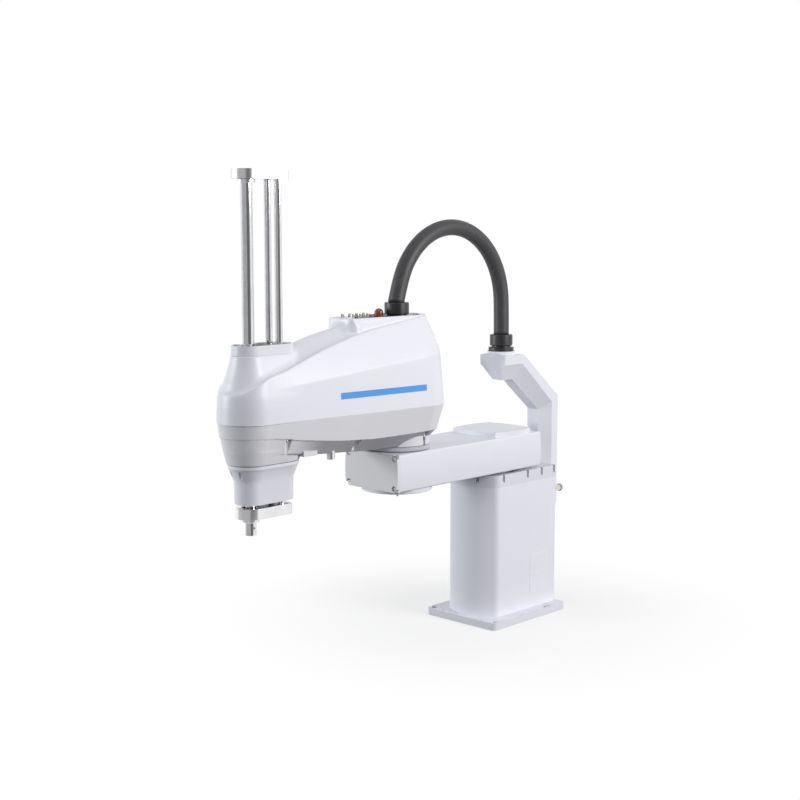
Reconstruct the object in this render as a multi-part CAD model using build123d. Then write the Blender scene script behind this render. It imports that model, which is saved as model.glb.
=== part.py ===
from build123d import *
import os
from math import acos, cos, pi, radians, sin, sqrt, tan

os.makedirs("parts", exist_ok=True)

# Selective-compliance arm robot, millimetres. The first joint's axis meets the mounting face at
# the origin, +X runs forward along both links, +Z is up. Both links are drawn in line.

# Running clearances
RUN = 0.3            # between bodies that move past each other
FIT = 0.05           # radial fit of bearings, bushes and screws
SLACK = 1.0          # how far cutters run past a face, and free play round sealed pieces

# Reach and stroke
LINK1 = 435.0        # first axis to second axis
LINK2 = 565.0        # second axis to the shaft
STROKE = 420.0       # vertical travel of the shaft

# Base plate
PLATE_T = 23.0
PLATE_FRONT = 149.5
PLATE_REAR = 212.0
PLATE_HALF_W = 141.5
PLATE_CORNER = 14.0
BOLT_PITCH = 250.0
BOLT_CENTRE_X = 4.0
BOLT_HOLE_R = 8.75
SPOT_R = 18.0
SPOT_DEPTH = 1.5
DOWEL_R = 4.0
DOWEL_X = 137.0
DOWEL_Y = 78.0

# Column of the base
COL_TOP = 434.0
COL_HALF_W = 100.0
COL_REAR = 210.0
COL_FRONT = 127.0
COL_FRONT_R = 140.0
COL_SIDE_R = 30.0
COL_REAR_R = 8.0
COL_WALL = 12.0
PANEL_W = 150.0
PANEL_H = 240.0
PANEL_Z = 165.0
PANEL_T = 4.0
PANEL_LAP = 12.0
POWER_PORT = (-38.0, 225.0)
SIGNAL_PORTS = ((38.0, 225.0), (0.0, 130.0))
PORT_R = 19.0
PORT_BODY_W = 44.0
PORT_BODY_L = 10.0
PORT_L = 34.0
AIR_Y = 70.0
AIR_Z = 386.0
AIR_R = 10.0
AIR_L = 60.0
AIR_HEX_R = 12.5
AIR_HEX_L = 14.0
CABLE_HOLE_R = 14.0
CABLE_HOLE_Z = 380.0

# Cap on the column
CAP_T = 37.5
CAP_WEB = 4.0
CAP_EDGE_R = 2.0
CAP_NOTCH_W = 10.0
CAP_NOTCH_DEPTH = 24.0
CAP_SCREW_LENGTH = 19.0
CAP_SCREW_FROM_REAR = (14.0, 78.0, 149.0, 268.0)
CAP_SCREW_FRONT_ANGLE = 18.5

# First joint
J1_FLANGE_R = 72.0
J1_BEARING_T = 12.0
J1_BEARING_H = 28.0
J1_STUB_R = 40.0
J1_BORE_R = 60.0
J1_REDUCER_R = 80.0
J1_REDUCER_H = 64.0
J1_MOTOR_W = 110.0
J1_MOTOR_H = 150.0
J1_ENCODER_R = 42.0
J1_ENCODER_H = 45.0
ARM1_LIFT = 10.0     # gap between the cap and the first link

# First link
ARM1_H = 109.5
ARM1_HALF_W = 107.5
ARM1_BULGE = 4.0
ARM1_FRONT = 108.0   # past the second axis
ARM1_REAR = 116.5    # behind the first axis
ARM1_WALL = 8.0
ARM1_EDGE_R = 6.0
END_PLATE_T = 14.0
END_SCREW_INSET_Y = 11.0
END_SCREW_INSET_Z = 11.0
END_NOTCH_R = 9.0
END_NOTCH_DEPTH = 8.0
J1_COVER_W = 174.0
J1_COVER_BULGE = 14.0
J1_COVER_H = 14.0
J1_COVER_SCREW = 77.0
J1_COVER_CORNER_R = 8.0
J1_ACCESS_R = 62.0
J2_UNDER_R = 104.0
J2_UNDER_H = 12.0
J2_UNDER_SCREWS = 4
J2_UNDER_INSET = 8.5

# Second joint
J2_FLANGE_R = 85.0
J2_LEDGE = 10.0
J2_HUB_R = 58.0
J2_HUB_H = 55.0
J2_HUB_BORE_R = 29.0
J2_BOSS_H = 18.0
J2_REDUCER_R = 86.0
J2_REDUCER_SEAT = 4.0
J2_REDUCER_H = 42.0
J2_MOTOR_W = 90.0
J2_MOTOR_H = 170.0
J2_ENCODER_R = 36.0
J2_ENCODER_H = 40.0
J2_DISC_R = 97.0
J2_DISC_H = 12.0
J2_DISC_GAP = 3.0

# Second link, each level a nose round at the shaft and a round near the second axis
ARM2_TAIL_SHIFT = 10.0
SEAM_LIFT = 119.0    # seam between frame and cover above the disc
SEAM_NOSE_R = 85.0
SEAM_TAIL_R = 133.0
BAND_TAIL_DROP = 84.0
BAND_NOSE_DROP = 39.0
BAND_NOSE_R = 79.0
BAND_TAIL_R = 111.0
FLOOR_TAIL_LIFT = 6.0
FLOOR_NOSE_LIFT = 41.0
FLOOR_NOSE_R = 73.5
FLOOR_TAIL_R = 97.0
FRAME_WALL = 7.0
FRAME_FLOOR = 8.0
FRAME_BOSS_R = 8.5
CREASE_TAIL_H = 145.0
CREASE_NOSE_H = 87.5
CREASE_NOSE_R = 79.5
CREASE_TAIL_R = 120.5
ROOF_TAIL_H = 320.0
ROOF_NOSE_H = 116.0
ROOF_NOSE_R = 76.0
ROOF_TAIL_R = 30.0
COVER_WALL = 5.0
# Shoulder edge over the seam and rise of the crown over the edge, from the shaft and from the second axis
SHOULDER_NOSE = ((100.0, 84.0, 2.0), (85.0, 84.0, 4.0), (20.0, 99.0, 12.0), (-75.0, 133.0, 30.0),
                 (-130.0, 154.0, 40.0), (-184.0, 173.0, 42.0), (-230.0, 187.0, 40.0))
SHOULDER_TAIL = ((232.0, 213.0, 28.0), (147.0, 228.0, 18.0), (58.0, 242.0, 10.0), (-40.0, 256.0, 3.0),
                 (-155.0, 257.0, 2.0))
TURRET_H = 260.0
TURRET_TAIL_R = 73.0
TURRET_REACH = 223.0
TURRET_FRONT_HALF_W = 52.0
TURRET_CORNER_R = 24.0
TURRET_DEPTH = 105.0
TURRET_RIM_DEPTH = 9.0
TURRET_LEDGE = 5.0
TURRET_PANEL_T = 4.0
TOWER_H = 178.5
TOWER_FLARE = ((97.5, 78.0), (74.5, 66.0), (36.5, 53.5), (0.0, 47.5))
COLLAR_H = 26.5
COLLAR_R = 46.0
COLLAR_WALL = 5.0
SEAL_T = 8.0
SEAL_DROP = 4.0
COVER_SCREWS = ((418.0, 1.0), (686.0, 1.0), (932.0, 1.0), (418.0, -1.0), (686.0, -1.0), (932.0, -1.0))

# Shaft, guide rods and their plates
SHAFT_R = 16.0
SHAFT_BORE_R = 8.0
SHAFT_END_R = 15.5
SHAFT_END_DROP = 47.0
ROD_R = 10.0
ROD_BACK = 90.0      # behind the shaft
ROD_HALF_PITCH = 20.5
ROD_BUSH_T = 5.0
RACE_BACK = 96.0     # rear centre of the collar and neck behind the shaft
TOP_PLATE_GAP = 13.5
TOP_PLATE_T = 25.5
PLATE_NOSE_R = 40.0
PLATE_BACK = 80.0
PLATE_REAR_R = 12.0
BOTTOM_PLATE_GAP = 10.5
BOTTOM_PLATE_T = 29.0
AXIS_COLLAR_R = 24.0
AXIS_COLLAR_H = 10.5
AXIS_BEARING_R = 24.0
AXIS_BEARING_H = 16.0
PLATE_SEAT = 6.0      # blind depth left above and below the rods and the shaft
AXIS_BEARING_COVER = 6.5
CROSS_HOLE_DROP = 16.0

# Neck under the second link
NECK_DROP = 7.0      # top of the neck over the disc
NECK_FLANGE_R = 59.5
NECK_FLANGE_H = 16.0
NECK_CONE_R = 55.0
NECK_STEP_DROP = 45.0
NECK_R = 44.0
NECK_H = 106.5
NECK_WALL = 6.0
CHIN_R = 64.0
CHIN_BACK_R = 60.0
NECK_SCREW_ANGLE = 20.0
NECK_SCREW_SINK = 9.6
NECK_TAPER = 1.0

# Nuts, pulleys, belts and motors inside the second link
NUT_R = 27.0
NUT_BEARING_T = 11.0
NUT_BEARING_H = 20.0
NUT_BEARING_LIFT = 4.0
NUT_PASSAGE = 4.5
PULLEY_R = 42.0
PULLEY_FLANGE = 2.0
PULLEY_FLANGE_T = 1.5
MOTOR_PULLEY_R = 36.0
BELT_W = 18.0
BELT_T = 3.0
BELT_PLAY = 0.5
Z_NUT_LIFT = 15.0
Z_NUT_H = 72.0
Z_PULLEY_LIFT = 36.0
NUT_GAP = 16.0
R_NUT_H = 80.0
R_PULLEY_LIFT = 8.0
DECK_LIFT = 12.0
DECK_T = 14.0
DECK_NOSE_R = 66.0
DECK_NOSE_BACK = 25.0
DECK_L = 335.0
DECK_TAIL_R = 62.0
Z_MOTOR_BACK = 200.0
R_MOTOR_BACK = 310.0
MOTOR_W = 76.0
MOTOR_H = 84.0
MOTOR_CORNER_R = 8.0
MOTOR_CAP_R = 25.0
MOTOR_CAP_H = 18.0
MOTOR_SHAFT_R = 9.0
MOTOR_PASSAGE = 3.0
POST_R = 6.0
POST_Y = 57.0
POST_SINK = 1.0
POST_BACK = (40.0, 255.0, 360.0)

# Duct behind the base that carries the hose
DUCT_HALF_W = 51.0
DUCT_FRONT_HALF_W = 20.5
DUCT_DEPTH = 65.0
DUCT_STRIP = 30.0
DUCT_FOOT_Z = 330.0
DUCT_WALL = 6.0
DUCT_KNEE_Z = 688.0
DUCT_STRIP_KNEE_Z = 670.0
DUCT_INNER_KNEE_Z = 645.0
DUCT_TOP_Z = 835.0
DUCT_CROWN = 6.0
DUCT_TOP_REAR = 96.0
DUCT_STRIP_TOP_Z = 806.0
DUCT_STRIP_TOP_REAR = 89.0
DUCT_INNER_TOP_Z = 755.0
DUCT_INNER_TOP_REAR = 73.5
DUCT_INNER_TOP_FRONT = 28.0
DUCT_TOP_FRONT = 2.0
DUCT_STRIP_FRONT = -2.0
DUCT_SCREW_Z = (350.0, 410.0)
DUCT_SCREW_Y = 12.0
DUCT_FRONT_SLANT = 1.0

# Hose and its two glands
HOSE_R = 24.0
HOSE_BASE_X = -43.5
BOSS_R = 44.0
BOSS_TOP_Z = 847.0
GLAND_FLANGE_R = 40.0
GLAND_FLANGE_H = 12.0
GLAND_NECK_R = 30.0
GLAND_NECK_H = 5.0
GLAND_WALL = 6.0
GLAND_GRIP = 3.0
GLAND_NUT_R = 36.0
GLAND_NUT_H = 35.0
TOP_NUT_H = 34.0
HOSE_LEAN_BACK = 14.0
HOSE_ROUTE = ((417.8, 1093.3), (377.6, 1157.1), (319.5, 1205.2), (249.5, 1233.1), (174.2, 1238.0),
              (101.2, 1219.3), (37.4, 1179.1), (-10.7, 1121.0), (-38.6, 1051.0), (-43.4, 975.0))
HOSE_TOP_X = 434.5

# Small pieces
SCREW_R = 2.5
SCREW_HEAD_R = 4.25
SCREW_HEAD_H = 5.0
SCREW_LENGTH = 16.0
HEX_R = 2.4
HEX_DEPTH = 2.6
PLUG_BACK = 239.0
PLUG_Y = 60.0
PLUG_R = 12.0
PLUG_H = 29.5
PAD_BACK = 176.0
PAD_L = 50.0
PAD_W = 150.0
PAD_T = 12.0
LAMP_REACH = 55.0
LAMP_Y = -19.0
LAMP_R = 13.0
LAMP_H = 28.0
FITTING_R = 7.0
FITTING_H = 17.0
FITTING_BORE_R = 3.5
FITTING_SPOTS = ((193.0, -30.0), (165.0, -30.0), (137.0, -30.0), (110.0, -30.0),
                 (180.0, 0.0), (151.0, 0.0), (122.0, 0.0))
LABELS = ((39.0, 133.0, 146.0, 196.0), (39.0, 133.0, 74.0, 140.0))
LABEL_T = 0.5

# Sizes that follow from the ones above
CAP_TOP = COL_TOP + CAP_T
ARM1_LOW = CAP_TOP + ARM1_LIFT
ARM1_TOP = ARM1_LOW + ARM1_H
SHAFT_X = LINK1 + LINK2
ROD_X = SHAFT_X - ROD_BACK
RACE_X = SHAFT_X - RACE_BACK
TAIL_X = LINK1 - ARM2_TAIL_SHIFT
RODS = ((ROD_X, ROD_HALF_PITCH), (ROD_X, -ROD_HALF_PITCH))
DISC_LOW = ARM1_TOP + J2_DISC_GAP
DISC_TOP = DISC_LOW + J2_DISC_H
SEAM_Z = DISC_TOP + SEAM_LIFT
BAND_TAIL_Z = SEAM_Z - BAND_TAIL_DROP
BAND_NOSE_Z = SEAM_Z - BAND_NOSE_DROP
FLOOR_TAIL_Z = DISC_TOP + FLOOR_TAIL_LIFT
FLOOR_NOSE_Z = DISC_TOP + FLOOR_NOSE_LIFT
TURRET_Z = SEAM_Z + TURRET_H
PANEL_SEAT = TURRET_Z - TURRET_RIM_DEPTH - TURRET_PANEL_T
TOP_GLAND_Z = PANEL_SEAT + TURRET_PANEL_T + 2 * GLAND_NECK_H + TOP_NUT_H
TOWER_TOP_Z = SEAM_Z + TOWER_H
COLLAR_TOP = TOWER_TOP_Z + COLLAR_H
CHIN_LOW = DISC_TOP + NECK_DROP
NECK_END_Z = CHIN_LOW - NECK_H
BOTTOM_PLATE_Z = NECK_END_Z - BOTTOM_PLATE_GAP - BOTTOM_PLATE_T
SHAFT_END_Z = BOTTOM_PLATE_Z - SHAFT_END_DROP
TOP_PLATE_Z = COLLAR_TOP + STROKE + TOP_PLATE_GAP
Z_NUT_LOW = CHIN_LOW + Z_NUT_LIFT
Z_PULLEY_Z = Z_NUT_LOW + Z_PULLEY_LIFT
R_NUT_LOW = Z_NUT_LOW + Z_NUT_H + NUT_GAP
R_PULLEY_Z = R_NUT_LOW + R_PULLEY_LIFT
PULLEY_H = BELT_W + 2 * (PULLEY_FLANGE_T + BELT_PLAY)
DECK_Z = R_PULLEY_Z + PULLEY_H + DECK_LIFT
DECK_TOP = DECK_Z + DECK_T
Z_MOTOR_X = SHAFT_X - Z_MOTOR_BACK
R_MOTOR_X = SHAFT_X - R_MOTOR_BACK
DUCT_REAR = COL_REAR + DUCT_DEPTH


def cyl(x, y, z, r, h):
    """upright cylinder standing on z"""
    return Pos(x, y, z + h / 2) * Cylinder(r, h)


def ring(x, y, z, r_out, r_in, h):
    return cyl(x, y, z, r_out, h) - cyl(x, y, z, r_in, h)


def block(x0, x1, y0, y1, z0, z1):
    return Pos((x0 + x1) / 2, (y0 + y1) / 2, (z0 + z1) / 2) * Box(x1 - x0, y1 - y0, z1 - z0)


def slab(sketch, z0, z1):
    """upright prism over a plan sketch"""
    return Pos(0, 0, z0) * extrude(sketch, z1 - z0)


def hull(x0, r0, x1, r1):
    """plan outline round two circles on the X axis, x0 behind x1"""
    lean = acos((r0 - r1) / (x1 - x0))
    a = (x0 + r0 * cos(lean), r0 * sin(lean))
    b = (x1 + r1 * cos(lean), r1 * sin(lean))
    low_a = (a[0], -a[1])
    low_b = (b[0], -b[1])
    edges = [Line(a, b), ThreePointArc(b, (x1 + r1, 0), low_b), Line(low_b, low_a),
             ThreePointArc(low_a, (x0 - r0, 0), a)]
    return make_face(edges)


def tilted(x0, z0, x1, z1, r0, r1):
    """two-circle outline in a plane that passes z0 at x0 and z1 at x1"""
    slope = (z1 - z0) / (x1 - x0)
    stretch = sqrt(1 + slope * slope)
    plane = Plane(origin=(x0, 0, z0), x_dir=(1, 0, slope), z_dir=(-slope, 0, 1))
    return plane * hull(0, r0, (x1 - x0) * stretch, r1)


def side_prism(points, y0, y1):
    """prism over an outline of x, z points, from y0 to y1"""
    face = make_face(Polyline(*[(x, y0, z) for x, z in points], close=True))
    return extrude(face, amount=y1 - y0, dir=(0, 1, 0))


def screw(length=SCREW_LENGTH):
    """socket screw, head on z = 0 and pointing down"""
    body = cyl(0, 0, 0, SCREW_HEAD_R, SCREW_HEAD_H) + cyl(0, 0, -length, SCREW_R, length)
    return body - Pos(0, 0, SCREW_HEAD_H - HEX_DEPTH) * extrude(RegularPolygon(HEX_R, 6), HEX_DEPTH)


def screw_hole(length=SCREW_LENGTH):
    return cyl(0, 0, -length, SCREW_R + FIT, length)


def write(name, *solids):
    shape = solids[0] if len(solids) == 1 else Compound(children=list(solids))
    shape.label = name
    export_step(shape, f"parts/{name}.step")


def column_outline(inset=0.0):
    """straight sides, a broad round front and small rear corners"""
    half = COL_HALF_W - inset
    front_r = COL_FRONT_R - inset
    centre = COL_FRONT - COL_FRONT_R
    corner_x = centre + sqrt(front_r * front_r - half * half)
    rear = -COL_REAR + inset
    edges = [Line((rear, -half), (corner_x, -half)),
             ThreePointArc((corner_x, -half), (centre + front_r, 0), (corner_x, half)),
             Line((corner_x, half), (rear, half)), Line((rear, half), (rear, -half))]
    face = make_face(edges)
    face = fillet([v for v in face.vertices() if v.X > centre], COL_SIDE_R - inset)
    back = [v for v in face.vertices() if v.X < rear + SLACK]
    return fillet(back, COL_REAR_R)


def cap_screw_spots():
    """screws over the column wall: along both sides and round the front"""
    inset = COL_WALL / 2
    spots = []
    for side in (1, -1):
        for from_rear in CAP_SCREW_FROM_REAR:
            spots.append((from_rear - COL_REAR, side * (COL_HALF_W - inset), 90 * side))
        centre = COL_FRONT - COL_FRONT_R
        a = radians(CAP_SCREW_FRONT_ANGLE)
        reach = COL_FRONT_R - inset
        spots.append((centre + reach * cos(a), side * reach * sin(a), side * CAP_SCREW_FRONT_ANGLE))
    return spots


def base_casting():
    plate = slab(Pos((PLATE_FRONT - PLATE_REAR) / 2, 0) *
                 RectangleRounded(PLATE_FRONT + PLATE_REAR, 2 * PLATE_HALF_W, PLATE_CORNER), 0, PLATE_T)
    column = slab(column_outline(), PLATE_T, COL_TOP)
    hollow = slab(column_outline(COL_WALL), PLATE_T, COL_TOP)
    body = plate + (column - hollow)
    for x in (BOLT_CENTRE_X - BOLT_PITCH / 2, BOLT_CENTRE_X + BOLT_PITCH / 2):
        for y in (-BOLT_PITCH / 2, BOLT_PITCH / 2):
            body -= cyl(x, y, 0, BOLT_HOLE_R, PLATE_T)
            body -= cyl(x, y, PLATE_T - SPOT_DEPTH, SPOT_R, SPOT_DEPTH)
    for y in (-DOWEL_Y, DOWEL_Y):
        body -= cyl(DOWEL_X, y, 0, DOWEL_R, PLATE_T)
    body -= block(-COL_REAR - SLACK, -COL_REAR + COL_WALL + SLACK,
                  -PANEL_W / 2 + PANEL_LAP, PANEL_W / 2 - PANEL_LAP,
                  PANEL_Z - PANEL_H / 2 + PANEL_LAP, PANEL_Z + PANEL_H / 2 - PANEL_LAP)
    for x, y, turn in cap_screw_spots():
        body -= Pos(x, y, CAP_TOP - CAP_NOTCH_DEPTH) * screw_hole(CAP_SCREW_LENGTH + SLACK)
    for y, z in panel_screw_spots() + duct_screw_spots():
        body -= rear_spot(y, z) * screw_hole(SCREW_LENGTH)
    body -= rear_spot(0, CABLE_HOLE_Z) * cyl(0, 0, -COL_WALL, CABLE_HOLE_R, COL_WALL)
    return body


def panel_screw_spots():
    return [(sy * (PANEL_W / 2 - PANEL_LAP / 2), PANEL_Z + sz * (PANEL_H / 2 - PANEL_LAP / 2))
            for sy in (-1, 1) for sz in (-1, 1)]


def duct_screw_spots():
    return [(sy * DUCT_SCREW_Y, z) for sy in (-1, 1) for z in DUCT_SCREW_Z]


def base_cap():
    cap = slab(column_outline(), COL_TOP, CAP_TOP)
    rim = [e for e in cap.edges() if e.center().Z > CAP_TOP - FIT]
    cap = fillet(rim, CAP_EDGE_R)
    cap -= cyl(0, 0, COL_TOP, J1_BORE_R, CAP_T)
    cap -= cyl(0, 0, COL_TOP + CAP_WEB, J1_FLANGE_R + J1_BEARING_T + FIT, CAP_T)
    for x, y, turn in cap_screw_spots():
        notch = block(-CAP_NOTCH_W / 2, COL_WALL, -CAP_NOTCH_W / 2, CAP_NOTCH_W / 2,
                      0, CAP_NOTCH_DEPTH + SLACK)
        cap -= Pos(x, y, CAP_TOP - CAP_NOTCH_DEPTH) * Rot(0, 0, turn) * notch
        cap -= Pos(x, y, CAP_TOP - CAP_NOTCH_DEPTH) * screw_hole(CAP_T)
    return cap


def inset_outline(points, amount):
    """closed outline of x, z points moved inward by one wall"""
    area = sum(points[i - 1][0] * points[i][1] - points[i][0] * points[i - 1][1] for i in range(len(points)))
    sense = 1 if area > 0 else -1
    moved = []
    for i, (x, z) in enumerate(points):
        before = points[i - 1]
        after = points[(i + 1) % len(points)]
        d1 = (Vector(x, z) - Vector(*before)).normalized()
        d2 = (Vector(*after) - Vector(x, z)).normalized()
        n1 = Vector(-d1.Y, d1.X) * sense
        n2 = Vector(-d2.Y, d2.X) * sense
        mitre = (n1 + n2) * (amount / (1 + n1.dot(n2)))
        moved.append((x + mitre.X, z + mitre.Y))
    return moved


def rear_spot(y, z):
    """frame on the back of the column, its Z pointing backward"""
    return Pos(-COL_REAR, y, z) * Rot(0, -90, 0)


def base_drive():
    write("j1_bearing", ring(0, 0, COL_TOP + CAP_WEB, J1_FLANGE_R + J1_BEARING_T, J1_FLANGE_R + FIT,
                             J1_BEARING_H))
    reducer_z = COL_TOP - J1_REDUCER_H
    write("j1_reducer", cyl(0, 0, reducer_z, J1_REDUCER_R, J1_REDUCER_H))
    motor_z = reducer_z - J1_MOTOR_H
    motor = slab(RectangleRounded(J1_MOTOR_W, J1_MOTOR_W, PLATE_CORNER), motor_z, reducer_z)
    motor += cyl(0, 0, motor_z - J1_ENCODER_H, J1_ENCODER_R, J1_ENCODER_H)
    write("j1_motor", motor)


def rear_fittings():
    panel = block(-COL_REAR - PANEL_T, -COL_REAR, -PANEL_W / 2, PANEL_W / 2,
                  PANEL_Z - PANEL_H / 2, PANEL_Z + PANEL_H / 2)
    for y, z in panel_screw_spots():
        panel -= rear_spot(y, z) * cyl(0, 0, 0, SCREW_R + FIT, PANEL_T)
    write("rear_panel", panel)
    screws = [rear_spot(y, z) * Pos(0, 0, PANEL_T) * screw() for y, z in panel_screw_spots()]
    screws += [rear_spot(y, z) * Pos(0, 0, DUCT_WALL) * screw() for y, z in duct_screw_spots()]
    write("rear_screws", *screws)
    ports = []
    for y, z in (POWER_PORT,) + SIGNAL_PORTS:
        port = slab(RectangleRounded(PORT_BODY_W, PORT_BODY_W, COL_REAR_R), 0, PORT_BODY_L)
        port += cyl(0, 0, PORT_BODY_L, PORT_R, PORT_L)
        port -= cyl(0, 0, PORT_BODY_L + PORT_L / 2, PORT_R - PANEL_T, PORT_L)
        ports.append(rear_spot(y, z) * Pos(0, 0, PANEL_T) * port)
    write("rear_connectors", *ports)
    air = []
    for side in (-1, 1):
        fitting = cyl(0, 0, 0, AIR_R, AIR_L) + extrude(RegularPolygon(AIR_HEX_R, 6), AIR_HEX_L)
        fitting += cyl(0, 0, AIR_L - AIR_HEX_L / 2, AIR_HEX_R, AIR_HEX_L / 2)
        fitting -= cyl(0, 0, AIR_HEX_L, AIR_R / 2, AIR_L)
        air.append(rear_spot(side * AIR_Y, AIR_Z) * fitting)
    write("air_ports", *air)
    write("blank_plates", *[block(x0 - COL_REAR, x1 - COL_REAR, COL_HALF_W, COL_HALF_W + LABEL_T, z0, z1)
                            for x0, x1, z0, z1 in LABELS])


def duct_strip():
    inner = -DUCT_REAR + DUCT_STRIP
    return [(DUCT_STRIP_FRONT, DUCT_TOP_Z), (-DUCT_TOP_REAR, DUCT_TOP_Z), (-DUCT_REAR, DUCT_KNEE_Z),
            (-DUCT_REAR, DUCT_FOOT_Z), (inner, DUCT_FOOT_Z), (inner, DUCT_STRIP_KNEE_Z),
            (-DUCT_STRIP_TOP_REAR, DUCT_STRIP_TOP_Z), (DUCT_STRIP_FRONT - DUCT_FRONT_SLANT, DUCT_STRIP_TOP_Z)]


def duct_full():
    return [(DUCT_TOP_FRONT, DUCT_TOP_Z + DUCT_CROWN), (-DUCT_TOP_REAR, DUCT_TOP_Z), (-DUCT_REAR, DUCT_KNEE_Z),
            (-DUCT_REAR, DUCT_FOOT_Z), (-COL_REAR, DUCT_FOOT_Z), (-COL_REAR, DUCT_INNER_KNEE_Z),
            (-DUCT_INNER_TOP_REAR, DUCT_INNER_TOP_Z), (-DUCT_INNER_TOP_FRONT, DUCT_INNER_TOP_Z)]


def duct_face(points, y):
    return make_face(Polyline(*[(x, y, z) for x, z in points], close=True))


def hose_duct():
    """post, lean and head: full depth in the middle, bevelled to a shallow strip at both sides"""
    duct = side_prism(duct_full(), -DUCT_FRONT_HALF_W, DUCT_FRONT_HALF_W)
    for side in (1, -1):
        duct += loft([duct_face(duct_full(), side * DUCT_FRONT_HALF_W),
                      duct_face(duct_strip(), side * DUCT_HALF_W)], ruled=True)
    duct += cyl(HOSE_BASE_X, 0, DUCT_TOP_Z - DUCT_WALL, BOSS_R, BOSS_TOP_Z - DUCT_TOP_Z + DUCT_WALL)
    full = inset_outline(duct_full(), DUCT_WALL)
    strip = inset_outline(duct_strip(), DUCT_WALL)
    duct -= side_prism(full, -DUCT_FRONT_HALF_W, DUCT_FRONT_HALF_W)
    duct -= side_prism(strip, -DUCT_HALF_W + DUCT_WALL, DUCT_HALF_W - DUCT_WALL)
    duct -= cyl(HOSE_BASE_X, 0, DUCT_TOP_Z - DUCT_WALL - SLACK, GLAND_NECK_R - GLAND_WALL, BOSS_TOP_Z)
    duct -= rear_spot(0, CABLE_HOLE_Z) * cyl(0, 0, 0, CABLE_HOLE_R, DUCT_WALL)
    for y, z in duct_screw_spots():
        duct -= rear_spot(y, z) * cyl(0, 0, 0, SCREW_R + FIT, DUCT_WALL)
    return duct


def gland(x, z, flange_h, nut_top):
    """flanged gland body with a waist, and the nut that grips the hose end"""
    waist = z + flange_h
    body = cyl(x, 0, z, GLAND_FLANGE_R, flange_h) + cyl(x, 0, waist, GLAND_NECK_R, GLAND_NECK_H)
    body -= cyl(x, 0, z, GLAND_NECK_R - GLAND_WALL, flange_h + GLAND_NECK_H)
    low = waist + GLAND_NECK_H
    return body, ring(x, 0, low, GLAND_NUT_R, HOSE_R - GLAND_GRIP, nut_top - low)


def make_base():
    write("base_casting", base_casting())
    write("base_cap", base_cap())
    write("cap_screws", *[Pos(x, y, CAP_TOP - CAP_NOTCH_DEPTH) * screw(CAP_SCREW_LENGTH)
                          for x, y, turn in cap_screw_spots()])
    base_drive()
    rear_fittings()
    write("hose_duct", hose_duct())
    nut_top = BOSS_TOP_Z + GLAND_FLANGE_H + GLAND_NECK_H + GLAND_NUT_H
    body, nut = gland(HOSE_BASE_X, BOSS_TOP_Z, GLAND_FLANGE_H, nut_top)
    write("duct_gland_body", body)
    write("duct_gland_nut", nut)


def arm1_section(inset, x):
    """cross section of the first link: flat top and bottom, slightly bulged sides"""
    top = ARM1_TOP - inset
    low = ARM1_LOW + inset
    edge = ARM1_HALF_W - ARM1_BULGE - inset
    middle = (top + low) / 2
    bulge = ARM1_HALF_W - inset
    edges = [Line((x, -edge, low), (x, edge, low)),
             ThreePointArc((x, edge, low), (x, bulge, middle), (x, edge, top)),
             Line((x, edge, top), (x, -edge, top)),
             ThreePointArc((x, -edge, top), (x, -bulge, middle), (x, -edge, low))]
    return make_face(edges)


def end_screw_spots():
    return [(sy * (ARM1_HALF_W - ARM1_BULGE - END_SCREW_INSET_Y), z)
            for sy in (-1, 1) for z in (ARM1_LOW + END_SCREW_INSET_Z, ARM1_TOP - END_SCREW_INSET_Z)]


def arm1_front():
    return LINK1 + ARM1_FRONT - END_PLATE_T


def along_x(x, y, z):
    """frame whose Z points forward"""
    return Pos(x, y, z) * Rot(0, 90, 0)


def arm1_casting():
    front = arm1_front()
    body = extrude(arm1_section(0, -ARM1_REAR), amount=front + ARM1_REAR, dir=(1, 0, 0))
    rims = [e for e in body.edges().filter_by(Axis.X)]
    body = fillet(rims, ARM1_EDGE_R)
    inner = extrude(arm1_section(ARM1_WALL, -ARM1_REAR + ARM1_WALL), amount=front + ARM1_REAR, dir=(1, 0, 0))
    shell = body - inner
    seat_z = ARM1_TOP - ARM1_WALL
    shell += cyl(LINK1, 0, seat_z - J2_LEDGE, J2_FLANGE_R + J2_LEDGE, J2_LEDGE) & body
    shell += cyl(0, 0, ARM1_LOW, J1_FLANGE_R, 2 * ARM1_WALL)
    for y, z in end_screw_spots():
        boss = along_x(front - 2 * SCREW_LENGTH, y, z) * cyl(0, 0, 0, END_NOTCH_R, 2 * SCREW_LENGTH)
        shell += boss & body
    shell -= cyl(LINK1, 0, seat_z, J2_FLANGE_R + FIT, ARM1_WALL)
    shell -= cyl(LINK1, 0, seat_z - J2_LEDGE, J2_FLANGE_R - J2_LEDGE, J2_LEDGE)
    shell -= cyl(0, 0, seat_z, J1_ACCESS_R, ARM1_WALL)
    for y, z in end_screw_spots():
        shell -= along_x(front, y, z) * Pos(0, 0, END_PLATE_T - END_NOTCH_DEPTH) * screw_hole()
    for x, y in cover_screw_spots():
        shell -= Pos(x, y, ARM1_TOP + J1_COVER_H - SCREW_HEAD_H) * screw_hole()
    for x, y in under_screw_spots():
        shell -= Pos(x, y, ARM1_LOW) * cyl(0, 0, 0, SCREW_R + FIT, ARM1_WALL)
    return shell


def cover_screw_spots():
    return [(sx * J1_COVER_SCREW, sy * J1_COVER_SCREW) for sx in (-1, 1) for sy in (-1, 1)]


def under_screw_spots():
    reach = J2_UNDER_R - J2_UNDER_INSET
    turns = [radians(360 * (i + 0.5) / J2_UNDER_SCREWS) for i in range(J2_UNDER_SCREWS)]
    return [(LINK1 + reach * cos(a), reach * sin(a)) for a in turns]


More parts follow.
